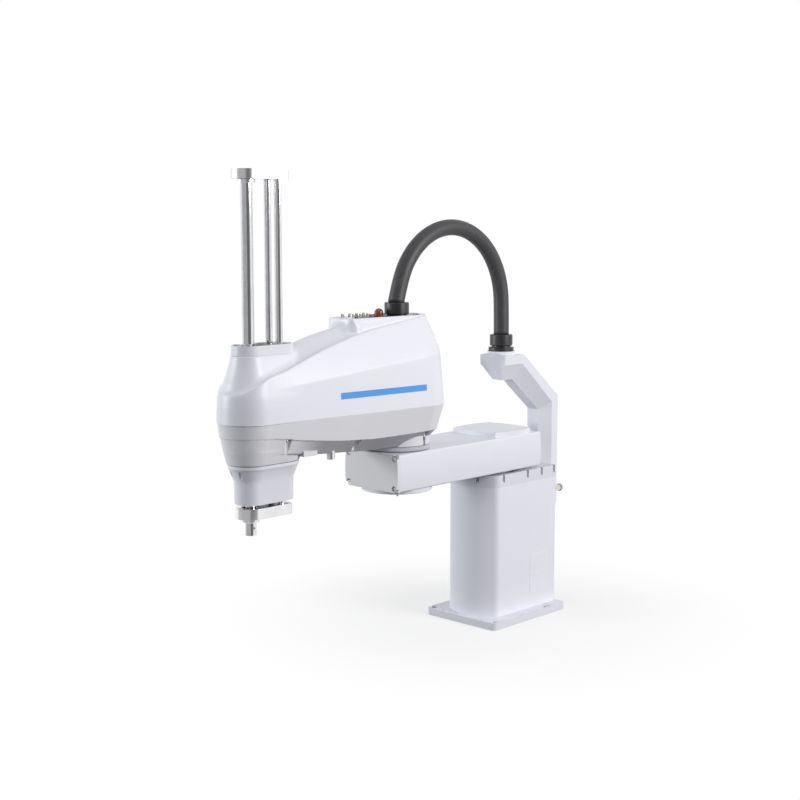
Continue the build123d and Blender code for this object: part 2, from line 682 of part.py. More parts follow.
def arm1_end_plate():
    front = arm1_front()
    plate = extrude(arm1_section(0, front), amount=END_PLATE_T, dir=(1, 0, 0))
    for y, z in end_screw_spots():
        floor = front + END_PLATE_T - END_NOTCH_DEPTH
        plate -= along_x(floor, y, z) * cyl(0, 0, 0, END_NOTCH_R, END_NOTCH_DEPTH)
        y_out = y + (2 * END_SCREW_INSET_Y if y > 0 else -2 * END_SCREW_INSET_Y)
        z_out = z + (2 * END_SCREW_INSET_Z if z > ARM1_LOW + ARM1_H / 2 else -2 * END_SCREW_INSET_Z)
        plate -= block(floor, front + END_PLATE_T, min(y, y_out), max(y, y_out), min(z, z_out), max(z, z_out))
        plate -= along_x(front, y, z) * cyl(0, 0, 0, SCREW_R + FIT, END_PLATE_T)
    return plate


def j1_top_cover():
    """square lid with bulged sides"""
    h = J1_COVER_W / 2
    b = h + J1_COVER_BULGE
    edges = [ThreePointArc((h, -h), (b, 0), (h, h)), ThreePointArc((h, h), (0, b), (-h, h)),
             ThreePointArc((-h, h), (-b, 0), (-h, -h)), ThreePointArc((-h, -h), (0, -b), (h, -h))]
    outline = make_face(edges)
    outline = fillet(outline.vertices(), J1_COVER_CORNER_R)
    lid = slab(outline, ARM1_TOP, ARM1_TOP + J1_COVER_H)
    lid = fillet([e for e in lid.edges() if e.center().Z > ARM1_TOP + J1_COVER_H - FIT], CAP_EDGE_R)
    for x, y in cover_screw_spots():
        head = ARM1_TOP + J1_COVER_H - SCREW_HEAD_H
        lid -= cyl(x, y, head, SCREW_HEAD_R + RUN, SCREW_HEAD_H)
        lid -= cyl(x, y, ARM1_TOP, SCREW_R + FIT, J1_COVER_H)
    return lid


def j2_output_flange():
    hub_top = ARM1_TOP + J2_HUB_H
    flange = cyl(LINK1, 0, ARM1_TOP - ARM1_WALL, J2_FLANGE_R, ARM1_WALL)
    flange += cyl(LINK1, 0, ARM1_TOP, J2_HUB_R, J2_HUB_H)
    flange += cyl(LINK1, 0, ARM1_TOP - ARM1_WALL - J2_LEDGE, J2_HUB_R, J2_LEDGE + ARM1_WALL)
    return flange - cyl(LINK1, 0, ARM1_TOP - ARM1_WALL - J2_LEDGE, J2_HUB_BORE_R, hub_top)


def hose():
    """one bend from the top gland over to the duct gland, in the plane of the links"""
    first = Vector(HOSE_TOP_X, 0, TOP_GLAND_Z)
    second = Vector(HOSE_ROUTE[0][0], 0, HOSE_ROUTE[0][1])
    start = first - (second - first).normalized() * HOSE_LEAN_BACK
    end_z = BOSS_TOP_Z + GLAND_FLANGE_H + GLAND_NECK_H + GLAND_NUT_H + RUN
    points = [start] + [Vector(x, 0, z) for x, z in HOSE_ROUTE] + [Vector(HOSE_BASE_X, 0, end_z)]
    radii = []
    for i in range(1, len(points) - 1):
        before = points[i] - points[i - 1]
        after = points[i + 1] - points[i]
        turn = radians(before.get_angle(after))
        radii.append(0.45 * min(before.length, after.length) / tan(turn / 2))
    path = FilletPolyline(*points, radius=radii)
    tube = sweep(Plane(origin=path @ 0, z_dir=path % 0) * Circle(HOSE_R), path)
    section = pi * HOSE_R ** 2
    print("hose radii", [round(r) for r in radii])
    print("hose volume against section times length", round(tube.volume / (section * path.length), 5))
    print("hose length from gland to gland", round(path.length - HOSE_LEAN_BACK, 1))
    low = TOP_GLAND_Z + RUN
    reach = 2 * HOSE_R
    return tube - block(LINK1 - reach, LINK1 + reach, -reach, reach, low - reach, low)


def make_arm1():
    flange = cyl(0, 0, COL_TOP + CAP_WEB + RUN, J1_FLANGE_R, CAP_T - CAP_WEB - RUN + ARM1_LIFT)
    flange += cyl(0, 0, COL_TOP + RUN, J1_STUB_R, CAP_WEB)
    write("j1_output_flange", flange)
    write("arm1_casting", arm1_casting())
    write("arm1_end_plate", arm1_end_plate())
    write("j1_top_cover", j1_top_cover())
    under = cyl(LINK1, 0, ARM1_LOW - J2_UNDER_H, J2_UNDER_R, J2_UNDER_H)
    under = fillet([e for e in under.edges() if e.center().Z < ARM1_LOW - J2_UNDER_H + FIT], CAP_EDGE_R)
    for x, y in under_screw_spots():
        under -= cyl(x, y, ARM1_LOW - J2_UNDER_H, SCREW_R + FIT, J2_UNDER_H)
    write("j2_under_cover", under)
    write("j2_output_flange", j2_output_flange())
    head_x = arm1_front() + END_PLATE_T - END_NOTCH_DEPTH
    screws = [along_x(head_x, y, z) * screw() for y, z in end_screw_spots()]
    screws += [Pos(x, y, ARM1_TOP + J1_COVER_H - SCREW_HEAD_H) * screw() for x, y in cover_screw_spots()]
    screws += [Pos(x, y, ARM1_LOW - J2_UNDER_H) * Rot(180, 0, 0) * screw() for x, y in under_screw_spots()]
    write("arm1_screws", *screws)
    write("hose", hose())


def flank(x, tail_r, nose_r):
    """half width of a two-circle outline at x"""
    span = SHAFT_X - TAIL_X
    slope = (nose_r - tail_r) / span
    return (tail_r + slope * (x - TAIL_X)) * sqrt(1 + slope * slope)


def rise(x, tail_z, nose_z):
    return tail_z + (nose_z - tail_z) * (x - TAIL_X) / (SHAFT_X - TAIL_X)


def frame_solid(inset, lift):
    floor = tilted(TAIL_X, FLOOR_TAIL_Z + lift, SHAFT_X, FLOOR_NOSE_Z + lift,
                   FLOOR_TAIL_R - inset, FLOOR_NOSE_R - inset)
    band = tilted(TAIL_X, BAND_TAIL_Z, SHAFT_X, BAND_NOSE_Z, BAND_TAIL_R - inset, BAND_NOSE_R - inset)
    seam = Pos(0, 0, SEAM_Z) * hull(TAIL_X, SEAM_TAIL_R - inset, SHAFT_X, SEAM_NOSE_R - inset)
    return loft([floor, band, seam], ruled=True)


def cover_screw_places():
    """x, y, head height and side of each screw under the flank of the frame"""
    places = []
    for x, side in COVER_SCREWS:
        y = side * (flank(x, FLOOR_TAIL_R, FLOOR_NOSE_R) - SCREW_HEAD_R)
        places.append((x, y, rise(x, BAND_TAIL_Z, BAND_NOSE_Z) - SCREW_HEAD_H, side))
    return places


def arm2_frame():
    outer = frame_solid(0, 0)
    outer += slab(hull(RACE_X, CHIN_BACK_R, SHAFT_X, CHIN_R), CHIN_LOW, FLOOR_NOSE_Z + FRAME_FLOOR)
    outer += cyl(LINK1, 0, DISC_TOP, J2_DISC_R, J2_BOSS_H)
    body = outer - frame_solid(FRAME_WALL, FRAME_FLOOR)
    body += cyl(LINK1, 0, DISC_TOP, J2_REDUCER_R, reducer_seat() - DISC_TOP)
    for x, y, z, side in cover_screw_places():
        post = cyl(x, y - side * SCREW_HEAD_R, FLOOR_TAIL_Z, FRAME_BOSS_R, SEAM_Z - FLOOR_TAIL_Z)
        body += post & outer
        body -= cyl(x, y, DISC_TOP, SCREW_HEAD_R + RUN, z - DISC_TOP)
        body -= Pos(x, y, z) * Rot(180, 0, 0) * screw_hole()
    body -= cyl(LINK1, 0, reducer_seat(), J2_REDUCER_R + RUN, J2_REDUCER_H)
    body -= cyl(LINK1, 0, ARM1_TOP, J2_HUB_R + RUN, SEAM_Z - ARM1_TOP)
    body -= cyl(SHAFT_X, 0, CHIN_LOW, NUT_R + NUT_PASSAGE, SEAM_Z - CHIN_LOW)
    body -= cyl(SHAFT_X, 0, nut_bearing_low(), NUT_R + NUT_BEARING_T + FIT, SEAM_Z - CHIN_LOW)
    for x, y in RODS:
        body -= cyl(x, y, CHIN_LOW, ROD_R + ROD_BUSH_T + FIT, SEAM_Z - CHIN_LOW)
    for x, y in post_spots():
        body -= cyl(x, y, post_low(x), POST_R + RUN, SEAM_Z - post_low(x))
    for x, y in neck_screw_spots():
        body -= Pos(x, y, neck_head_z()) * Rot(180, 0, 0) * screw_hole()
    return body


def reducer_seat():
    return DISC_TOP + J2_BOSS_H - J2_REDUCER_SEAT / 2


def nut_bearing_low():
    return Z_NUT_LOW + NUT_BEARING_LIFT


def post_spots():
    return [(SHAFT_X - back, side * POST_Y) for back in POST_BACK for side in (-1, 1)]


def post_low(x):
    return rise(x, FLOOR_TAIL_Z, FLOOR_NOSE_Z) + FRAME_FLOOR - POST_SINK


def neck_head_z():
    return CHIN_LOW - NECK_SCREW_SINK


def neck_screw_spots():
    reach = (NECK_FLANGE_R + NECK_R) / 2
    spots = []
    for side in (-1, 1):
        a = radians(NECK_SCREW_ANGLE)
        spots.append((SHAFT_X + reach * cos(a), side * reach * sin(a)))
        spots.append((RACE_X - reach * cos(a), side * reach * sin(a)))
    return spots


def turret_outline(inset=0.0):
    x = LINK1 + TURRET_REACH - TURRET_CORNER_R
    y = TURRET_FRONT_HALF_W - TURRET_CORNER_R
    tail = TURRET_TAIL_R - inset
    corner = TURRET_CORNER_R - inset
    corners = Pos(x, y) * Circle(corner) + Pos(x, -y) * Circle(corner) + Pos(LINK1, 0) * Circle(tail)
    return make_hull(corners.edges())


def shoulder():
    """x, edge height, crown height and half width at each station of the roof, nose first"""
    stations = []
    for start, row in ((SHAFT_X, SHOULDER_NOSE), (LINK1, SHOULDER_TAIL)):
        for reach, edge, crown in row:
            x = min(max(start + reach, TAIL_X), SHAFT_X)
            low = rise(x, CREASE_TAIL_H, CREASE_NOSE_H)
            share = (edge - low) / (rise(x, ROOF_TAIL_H, ROOF_NOSE_H) - low)
            wide = flank(x, CREASE_TAIL_R, CREASE_NOSE_R)
            half = wide + share * (flank(x, ROOF_TAIL_R, ROOF_NOSE_R) - wide)
            stations.append((start + reach, SEAM_Z + edge, crown, half))
    return stations


def under_roof(inset):
    """everything below the crowned roof"""
    sections = []
    for x, edge, crown, half in shoulder():
        top = edge - inset
        low = SEAM_Z - SLACK
        side = SEAM_TAIL_R + SLACK
        sections.append(make_face([
            Line((x, -side, low), (x, side, low)), Line((x, side, low), (x, side, top)),
            Line((x, side, top), (x, half, top)), ThreePointArc((x, half, top), (x, 0, top + crown), (x, -half, top)),
            Line((x, -half, top), (x, -side, top)), Line((x, -side, top), (x, -side, low))]))
    return loft(sections, ruled=True)


def cover_solid(inset):
    seam = Pos(0, 0, SEAM_Z) * hull(TAIL_X, SEAM_TAIL_R - inset, SHAFT_X, SEAM_NOSE_R - inset)
    crease = tilted(TAIL_X, SEAM_Z + CREASE_TAIL_H, SHAFT_X, SEAM_Z + CREASE_NOSE_H,
                    CREASE_TAIL_R - inset, CREASE_NOSE_R - inset)
    roof = tilted(TAIL_X, SEAM_Z + ROOF_TAIL_H, SHAFT_X, SEAM_Z + ROOF_NOSE_H,
                  ROOF_TAIL_R - inset, ROOF_NOSE_R - inset)
    body = loft([seam, crease, roof], ruled=True) & under_roof(inset)
    flare = [Pos(0, 0, TOWER_TOP_Z - drop) * hull(RACE_X, r - inset, SHAFT_X, r - inset)
             for drop, r in TOWER_FLARE]
    return body + loft(flare, ruled=True)


def arm2_cover():
    outer = cover_solid(0) + slab(turret_outline(), TURRET_Z - TURRET_DEPTH, TURRET_Z)
    cover = outer - cover_solid(COVER_WALL)
    cover -= slab(turret_outline(COVER_WALL + TURRET_LEDGE), TURRET_Z - TURRET_DEPTH - COVER_WALL, PANEL_SEAT)
    cover -= slab(turret_outline(COVER_WALL), PANEL_SEAT, TURRET_Z)
    return cover


def drive_pulley(x, z, rim_r):
    """flanged rim for a toothed belt"""
    rim = cyl(x, 0, z, rim_r, PULLEY_H)
    for low in (z, z + PULLEY_H - PULLEY_FLANGE_T):
        rim += cyl(x, 0, low, rim_r + PULLEY_FLANGE, PULLEY_FLANGE_T)
    return rim


def belt(x_motor, z):
    low = z + PULLEY_FLANGE_T + BELT_PLAY
    outer = hull(x_motor, MOTOR_PULLEY_R + RUN + BELT_T, SHAFT_X, PULLEY_R + RUN + BELT_T)
    inner = hull(x_motor, MOTOR_PULLEY_R + RUN, SHAFT_X, PULLEY_R + RUN)
    return slab(outer, low, low + BELT_W) - slab(inner, low, low + BELT_W)


def shaft_nut(low, height, pulley_z):
    nut = cyl(SHAFT_X, 0, low, NUT_R, height) + drive_pulley(SHAFT_X, pulley_z, PULLEY_R)
    return nut - cyl(SHAFT_X, 0, low, SHAFT_R + FIT, height)


def motor_pulley(x, z):
    pulley = drive_pulley(x, z, MOTOR_PULLEY_R)
    return pulley + cyl(x, 0, z, MOTOR_SHAFT_R, DECK_TOP - RUN - z)


def square_motor(x, z, width, height, encoder_r, encoder_h):
    body = Pos(x, 0) * slab(RectangleRounded(width, width, MOTOR_CORNER_R), z, z + height)
    return body + cyl(x, 0, z + height, encoder_r, encoder_h)


def motor_deck():
    """plate over the belts that carries both motors and the upper nut, on six posts"""
    nose_x = SHAFT_X - DECK_NOSE_BACK
    deck = slab(hull(nose_x - DECK_L, DECK_TAIL_R, nose_x, DECK_NOSE_R), DECK_Z, DECK_TOP)
    deck -= cyl(SHAFT_X, 0, DECK_Z, NUT_R + NUT_BEARING_T + FIT, DECK_T)
    for x, y in RODS:
        deck -= cyl(x, y, DECK_Z, ROD_R + ROD_BUSH_T, DECK_T)
    for x in (Z_MOTOR_X, R_MOTOR_X):
        deck -= cyl(x, 0, DECK_Z, MOTOR_SHAFT_R + MOTOR_PASSAGE, DECK_T)
    return deck


def arm2_drives():
    write("j2_reducer", cyl(LINK1, 0, reducer_seat(), J2_REDUCER_R, J2_REDUCER_H)
          - cyl(LINK1, 0, reducer_seat(), J2_HUB_R + RUN, ARM1_TOP + J2_HUB_H + SLACK - reducer_seat()))
    write("j2_motor", square_motor(LINK1, reducer_seat() + J2_REDUCER_H, J2_MOTOR_W, J2_MOTOR_H,
                                   J2_ENCODER_R, J2_ENCODER_H))
    write("motor_deck", motor_deck())
    write("deck_posts", *[cyl(x, y, post_low(x), POST_R, DECK_Z - post_low(x)) for x, y in post_spots()])
    write("z_motor", square_motor(Z_MOTOR_X, DECK_TOP, MOTOR_W, MOTOR_H, MOTOR_CAP_R, MOTOR_CAP_H))
    write("r_motor", square_motor(R_MOTOR_X, DECK_TOP, MOTOR_W, MOTOR_H, MOTOR_CAP_R, MOTOR_CAP_H))
    write("z_belt", belt(Z_MOTOR_X, Z_PULLEY_Z))
    write("r_belt", belt(R_MOTOR_X, R_PULLEY_Z))
    bearing_r = NUT_R + NUT_BEARING_T
    write("nut_bearings", ring(SHAFT_X, 0, nut_bearing_low(), bearing_r, NUT_R + FIT, NUT_BEARING_H),
          ring(SHAFT_X, 0, DECK_Z, bearing_r, NUT_R + FIT, DECK_T))
    write("z_nut", shaft_nut(Z_NUT_LOW, Z_NUT_H, Z_PULLEY_Z))
    write("r_nut", shaft_nut(R_NUT_LOW, R_NUT_H, R_PULLEY_Z))
    write("z_motor_pulley", motor_pulley(Z_MOTOR_X, Z_PULLEY_Z))
    write("r_motor_pulley", motor_pulley(R_MOTOR_X, R_PULLEY_Z))


def guide_holes(z, height, rod_clear):
    """shaft hole and both rod holes of a plate"""
    holes = cyl(SHAFT_X, 0, z, SHAFT_R + RUN, height)
    for x, y in RODS:
        holes += cyl(x, y, z, ROD_R + rod_clear, height)
    return holes


def rod_bushes():
    outer = ROD_R + ROD_BUSH_T
    top = COLLAR_TOP - SEAL_DROP
    low = [ring(x, y, CHIN_LOW, outer, ROD_R + FIT, FLOOR_NOSE_Z - CHIN_LOW) for x, y in RODS]
    high = [ring(x, y, TOWER_TOP_Z, outer, ROD_R + FIT, top - TOWER_TOP_Z) for x, y in RODS]
    return low + high


def neck_levels():
    return ((CHIN_LOW, NECK_FLANGE_R), (CHIN_LOW - NECK_FLANGE_H / 2, NECK_FLANGE_R),
            (CHIN_LOW - NECK_FLANGE_H, NECK_CONE_R), (CHIN_LOW - NECK_STEP_DROP, NECK_R),
            (NECK_END_Z, NECK_R - NECK_TAPER))


def quill_neck():
    neck = loft([Pos(0, 0, z) * hull(RACE_X, r, SHAFT_X, r) for z, r in neck_levels()], ruled=True)
    neck -= slab(hull(RACE_X, NECK_R - NECK_WALL, SHAFT_X, NECK_R - NECK_WALL), NECK_END_Z, CHIN_LOW)
    for x, y in neck_screw_spots():
        neck -= cyl(x, y, NECK_END_Z, SCREW_HEAD_R + RUN, neck_head_z() - NECK_END_Z)
        neck -= cyl(x, y, neck_head_z(), SCREW_R + FIT, NECK_FLANGE_H)
    return neck


def arm2_guides():
    collar = slab(hull(RACE_X, COLLAR_R, SHAFT_X, COLLAR_R), TOWER_TOP_Z, COLLAR_TOP)
    inner = COLLAR_R - COLLAR_WALL
    collar -= slab(hull(RACE_X, inner, SHAFT_X, inner), TOWER_TOP_Z, COLLAR_TOP)
    write("top_collar", collar)
    seal_z = COLLAR_TOP - SEAL_DROP - SEAL_T
    inner = COLLAR_R - COLLAR_WALL - FIT
    write("collar_seal", slab(hull(RACE_X, inner, SHAFT_X, inner), seal_z, seal_z + SEAL_T)
          - guide_holes(seal_z, SEAL_T, ROD_BUSH_T + FIT))
    write("rod_bushes", *rod_bushes())
    write("quill_neck", quill_neck())
    write("neck_screws", *[Pos(x, y, neck_head_z()) * Rot(180, 0, 0) * screw() for x, y in neck_screw_spots()])
    inner = NECK_R - NECK_WALL - FIT
    low = NECK_END_Z + SEAL_DROP
    seal = slab(hull(RACE_X, inner, SHAFT_X, inner), low, low + SEAL_T)
    write("neck_seal", seal - guide_holes(low, SEAL_T, RUN))


def turret_fittings():
    panel = slab(turret_outline(COVER_WALL + FIT), PANEL_SEAT, PANEL_SEAT + TURRET_PANEL_T)
    top = PANEL_SEAT + TURRET_PANEL_T
    write("turret_panel", panel)
    lamp = cyl(LINK1 + LAMP_REACH, LAMP_Y, top, LAMP_R, LAMP_H - LAMP_R)
    lamp += Pos(LINK1 + LAMP_REACH, LAMP_Y, top + LAMP_H - LAMP_R) * Sphere(LAMP_R)
    write("lamp", lamp)
    fittings = []
    for reach, y in FITTING_SPOTS:
        x = LINK1 + reach
        one = Pos(x, y, top) * extrude(RegularPolygon(FITTING_R, 6), FITTING_H / 2)
        one += cyl(x, y, top, FITTING_R - SLACK, FITTING_H)
        fittings.append(one - cyl(x, y, top + FITTING_H / 2, FITTING_BORE_R, FITTING_H))
    write("air_fittings", *fittings)
    body, nut = gland(LINK1, top, GLAND_NECK_H, TOP_GLAND_Z)
    write("top_gland_body", body)
    write("top_gland_nut", nut)


def belly_fittings():
    """plug and pad under the floor of the frame"""
    outer = frame_solid(0, 0)
    chin = slab(hull(RACE_X, CHIN_BACK_R + RUN, SHAFT_X, CHIN_R + RUN), CHIN_LOW, SEAM_Z)
    x = SHAFT_X - PLUG_BACK
    floor = rise(x, FLOOR_TAIL_Z, FLOOR_NOSE_Z)
    write("belly_plug", cyl(x, PLUG_Y, floor - PLUG_H, PLUG_R, PLUG_H + PLUG_R) - outer)
    x = SHAFT_X - PAD_BACK
    low = rise(x, FLOOR_TAIL_Z, FLOOR_NOSE_Z) - PAD_T
    pad = block(x, x + PAD_L, -PAD_W / 2, PAD_W / 2, low, low + 2 * PAD_T) - outer - chin
    write("belly_pad", *pad.solids())


def make_arm2():
    write("arm2_frame", arm2_frame())
    write("arm2_cover", arm2_cover())
    write("cover_screws", *[Pos(x, y, z) * Rot(180, 0, 0) * screw() for x, y, z, side in cover_screw_places()])
    write("j2_disc", ring(LINK1, 0, DISC_LOW, J2_DISC_R, J2_HUB_R + RUN, J2_DISC_H))
    arm2_drives()
    arm2_guides()
    turret_fittings()
    belly_fittings()


def axis_plate(z, height):
    """plate round the shaft end and both guide rods"""
    outline = Pos(SHAFT_X - PLATE_BACK / 2, 0) * Rectangle(PLATE_BACK, 2 * PLATE_NOSE_R)
    outline += Pos(SHAFT_X, 0) * Circle(PLATE_NOSE_R)
    outline += Pos(SHAFT_X - PLATE_BACK, 0) * RectangleRounded(PLATE_BACK, 2 * PLATE_NOSE_R, PLATE_REAR_R)
    return slab(outline, z, z + height)


def plate_screw_spots():
    rear = SHAFT_X - 1.5 * PLATE_BACK
    return [(rear, side * ROD_HALF_PITCH, z) for side in (-1, 1)
            for z in (TOP_PLATE_Z + TOP_PLATE_T / 2, BOTTOM_PLATE_Z + BOTTOM_PLATE_T / 2)]


def make_carriage():
    ledge = BOTTOM_PLATE_T - AXIS_BEARING_H - AXIS_BEARING_COVER
    top = axis_plate(TOP_PLATE_Z, TOP_PLATE_T)
    top -= cyl(SHAFT_X, 0, TOP_PLATE_Z, AXIS_BEARING_R + FIT, AXIS_BEARING_H)
    top -= cyl(SHAFT_X, 0, TOP_PLATE_Z, SHAFT_R + RUN, shaft_top() + RUN - TOP_PLATE_Z)
    top -= cyl(SHAFT_X, 0, TOP_PLATE_Z, SHAFT_BORE_R + SLACK, TOP_PLATE_T)
    bottom = axis_plate(BOTTOM_PLATE_Z, BOTTOM_PLATE_T)
    bottom -= cyl(SHAFT_X, 0, BOTTOM_PLATE_Z, SHAFT_R + 2 * RUN, BOTTOM_PLATE_T)
    bottom -= cyl(SHAFT_X, 0, BOTTOM_PLATE_Z + ledge, AXIS_BEARING_R + FIT, BOTTOM_PLATE_T)
    rods = []
    for x, y in RODS:
        rod_low = BOTTOM_PLATE_Z + PLATE_SEAT
        rod_high = TOP_PLATE_Z + TOP_PLATE_T - PLATE_SEAT
        rods.append(cyl(x, y, rod_low, ROD_R, rod_high - rod_low))
        top -= cyl(x, y, TOP_PLATE_Z, ROD_R + FIT, rod_high - TOP_PLATE_Z)
        bottom -= cyl(x, y, rod_low, ROD_R + FIT, BOTTOM_PLATE_T)
    screws = []
    for x, y, z in plate_screw_spots():
        spot = Pos(x, y, z) * Rot(0, -90, 0)
        length = ROD_X - ROD_R - x
        hole = spot * Pos(0, 0, -length) * cyl(0, 0, 0, SCREW_R + FIT, length)
        pocket = spot * Pos(0, 0, -SCREW_HEAD_H) * cyl(0, 0, 0, SCREW_HEAD_R + RUN, SCREW_HEAD_H)
        top -= hole + pocket
        bottom -= hole + pocket
        screws.append(spot * Pos(0, 0, -SCREW_HEAD_H) * screw(length - SCREW_HEAD_H - RUN))
    write("top_plate", top)
    write("bottom_plate", bottom)
    write("guide_rods", *rods)
    write("plate_screws", *screws)
    write("axis_bearings", ring(SHAFT_X, 0, TOP_PLATE_Z, AXIS_BEARING_R, SHAFT_R + FIT, AXIS_BEARING_H),
          ring(SHAFT_X, 0, BOTTOM_PLATE_Z + ledge, AXIS_BEARING_R, SHAFT_R + FIT, AXIS_BEARING_H))


def shaft_top():
    return TOP_PLATE_Z + TOP_PLATE_T - PLATE_SEAT


def make_shaft():
    lower = BOTTOM_PLATE_Z - AXIS_COLLAR_H - RUN
    shaft = cyl(SHAFT_X, 0, lower, SHAFT_R, shaft_top() - lower)
    shaft += cyl(SHAFT_X, 0, SHAFT_END_Z, SHAFT_END_R, lower - SHAFT_END_Z)
    shaft -= cyl(SHAFT_X, 0, SHAFT_END_Z, SHAFT_BORE_R, shaft_top() - SHAFT_END_Z)
    hole_z = lower - CROSS_HOLE_DROP
    shaft -= Pos(SHAFT_X, 0, hole_z) * Rot(90, 0, 45) * Cylinder(SCREW_R, 4 * SHAFT_R)
    write("spline_shaft", shaft)
    upper = TOP_PLATE_Z - AXIS_COLLAR_H - RUN
    write("axis_collars", *[ring(SHAFT_X, 0, z, AXIS_COLLAR_R, SHAFT_R + FIT, AXIS_COLLAR_H)
                            for z in (upper, lower)])


make_base()
make_arm1()
make_arm2()
make_carriage()
make_shaft()
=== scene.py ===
import math
import bpy
import bmesh
import numpy as np
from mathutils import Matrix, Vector


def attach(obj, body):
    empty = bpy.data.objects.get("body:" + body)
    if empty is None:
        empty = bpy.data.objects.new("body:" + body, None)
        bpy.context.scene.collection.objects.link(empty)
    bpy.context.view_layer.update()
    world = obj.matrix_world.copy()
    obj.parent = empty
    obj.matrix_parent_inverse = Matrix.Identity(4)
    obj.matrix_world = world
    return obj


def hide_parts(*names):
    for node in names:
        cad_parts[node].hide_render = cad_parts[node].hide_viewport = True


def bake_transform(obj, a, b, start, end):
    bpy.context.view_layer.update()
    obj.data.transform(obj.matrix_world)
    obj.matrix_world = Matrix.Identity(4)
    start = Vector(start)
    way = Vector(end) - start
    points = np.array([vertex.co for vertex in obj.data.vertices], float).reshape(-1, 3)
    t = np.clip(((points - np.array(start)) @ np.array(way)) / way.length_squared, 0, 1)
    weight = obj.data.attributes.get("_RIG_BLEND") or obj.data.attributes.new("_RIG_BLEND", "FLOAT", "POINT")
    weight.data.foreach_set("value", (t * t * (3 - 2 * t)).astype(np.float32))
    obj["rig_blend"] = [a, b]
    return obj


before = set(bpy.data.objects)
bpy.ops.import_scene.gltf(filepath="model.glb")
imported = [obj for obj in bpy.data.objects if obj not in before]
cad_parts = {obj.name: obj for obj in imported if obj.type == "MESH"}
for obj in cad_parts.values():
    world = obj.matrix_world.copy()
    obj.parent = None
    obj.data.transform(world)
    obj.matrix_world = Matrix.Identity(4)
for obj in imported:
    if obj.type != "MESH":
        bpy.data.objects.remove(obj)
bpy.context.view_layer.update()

# The camera stands in front and to the left of the robot, a little above the second link, at the
# distance and height worked out from the photograph's upright edges and both links.
CAMERA_PLACE = (3.3982, 2.8410, 1.2498)
CAMERA_BACK = (0.7178, 0.6850, 0.1250)
camera_data = bpy.data.cameras.new("camera")
camera_data.sensor_width = 36.0
camera_data.lens = 63.33
camera_data.clip_start = 0.1
camera_data.clip_end = 60.0
camera = bpy.data.objects.new("camera", camera_data)
bpy.context.scene.collection.objects.link(camera)
camera.location = CAMERA_PLACE
camera.rotation_euler = Vector(CAMERA_BACK).to_track_quat("Z", "Y").to_euler()
bpy.context.scene.camera = camera


# Cable hose of smooth black rubber, 48 mm across and 825 mm from gland to gland. It stands up out of
# the turret gland, leans back over the links in one arch and drops into the gland on the duct.
class Signal:
    """a number that varies over a surface"""

    def __init__(self, finish, socket):
        self.finish = finish
        self.socket = socket

    def _math(self, operation, first, second):
        return self.finish.node("ShaderNodeMath", {"operation": operation}, {0: first, 1: second})

    def __add__(self, other):
        return self._math("ADD", self, other)

    __radd__ = __add__

    def __mul__(self, other):
        return self._math("MULTIPLY", self, other)

    __rmul__ = __mul__

    def __sub__(self, other):
        return self._math("SUBTRACT", self, other)

    def __rsub__(self, other):
        return self._math("SUBTRACT", other, self)

    def over(self, edge, width):
        """0 below the edge and 1 above it, with a ramp of that width"""
        return self.finish.node("ShaderNodeMapRange", {"interpolation_type": "SMOOTHSTEP"},
                                {"Value": self, "From Min": edge - width / 2, "From Max": edge + width / 2})


class Finish:
    """a surface finish and the nodes that it is made of"""

    def __init__(self, name, **constants):
        self.material = bpy.data.materials.new(name)
        self.material.use_nodes = True
        self.tree = self.material.node_tree
        self.tree.nodes.clear()
        output = self.tree.nodes.new("ShaderNodeOutputMaterial")
        self.shader = self.tree.nodes.new("ShaderNodeBsdfPrincipled")
        self.tree.links.new(self.shader.outputs[0], output.inputs[0])
        for key, value in constants.items():
            self.give(self.shader, key.replace("_", " ").title().replace("Ior", "IOR"), value)

    def give(self, node, key, value):
        if isinstance(value, Signal):
            self.tree.links.new(value.socket, node.inputs[key])
        elif isinstance(value, tuple) and len(value) == 3 and node.inputs[key].type == "RGBA":
            node.inputs[key].default_value = (*value, 1.0)
        else:
            node.inputs[key].default_value = value

    def node(self, kind, settings, inputs, out=0):
        node = self.tree.nodes.new(kind)
        for key, value in settings.items():
            setattr(node, key, value)
        for key, value in inputs.items():
            self.give(node, key, value)
        return Signal(self, node.outputs[out])

    def place(self):
        return self.node("ShaderNodeTexCoord", {}, {}, "Object")

    def noise(self, scale, detail=2.0, stretch=(1.0, 1.0, 1.0)):
        spread = self.node("ShaderNodeMapping", {}, {"Vector": self.place(), "Scale": stretch})
        settings = {"Vector": spread, "Scale": scale, "Detail": detail}
        return self.node("ShaderNodeTexNoise", {}, settings, "Fac")

    def mixed(self, share, first, second):
        return self.node("ShaderNodeMix", {"data_type": "RGBA"}, {0: share, 6: first, 7: second}, 2)

    def put(self, key, value):
        self.give(self.shader, key, value)
        return self

    def given(self, key):
        """what already feeds an input of the surface"""
        return Signal(self, self.shader.inputs[key].links[0].from_socket)

    def bump(self, height, depth, strength=1.0):
        normal = self.node("ShaderNodeBump", {}, {"Height": height, "Distance": depth, "Strength": strength})
        return self.put("Normal", normal)


def linked(name, mesh):
    piece = bpy.data.objects.new(name, mesh)
    bpy.context.scene.collection.objects.link(piece)
    return piece


def smooth(mesh):
    mesh.polygons.foreach_set("use_smooth", [True] * len(mesh.polygons))


def finished(piece, finish):
    piece.data.materials.clear()
    piece.data.materials.append(finish.material)
    return piece


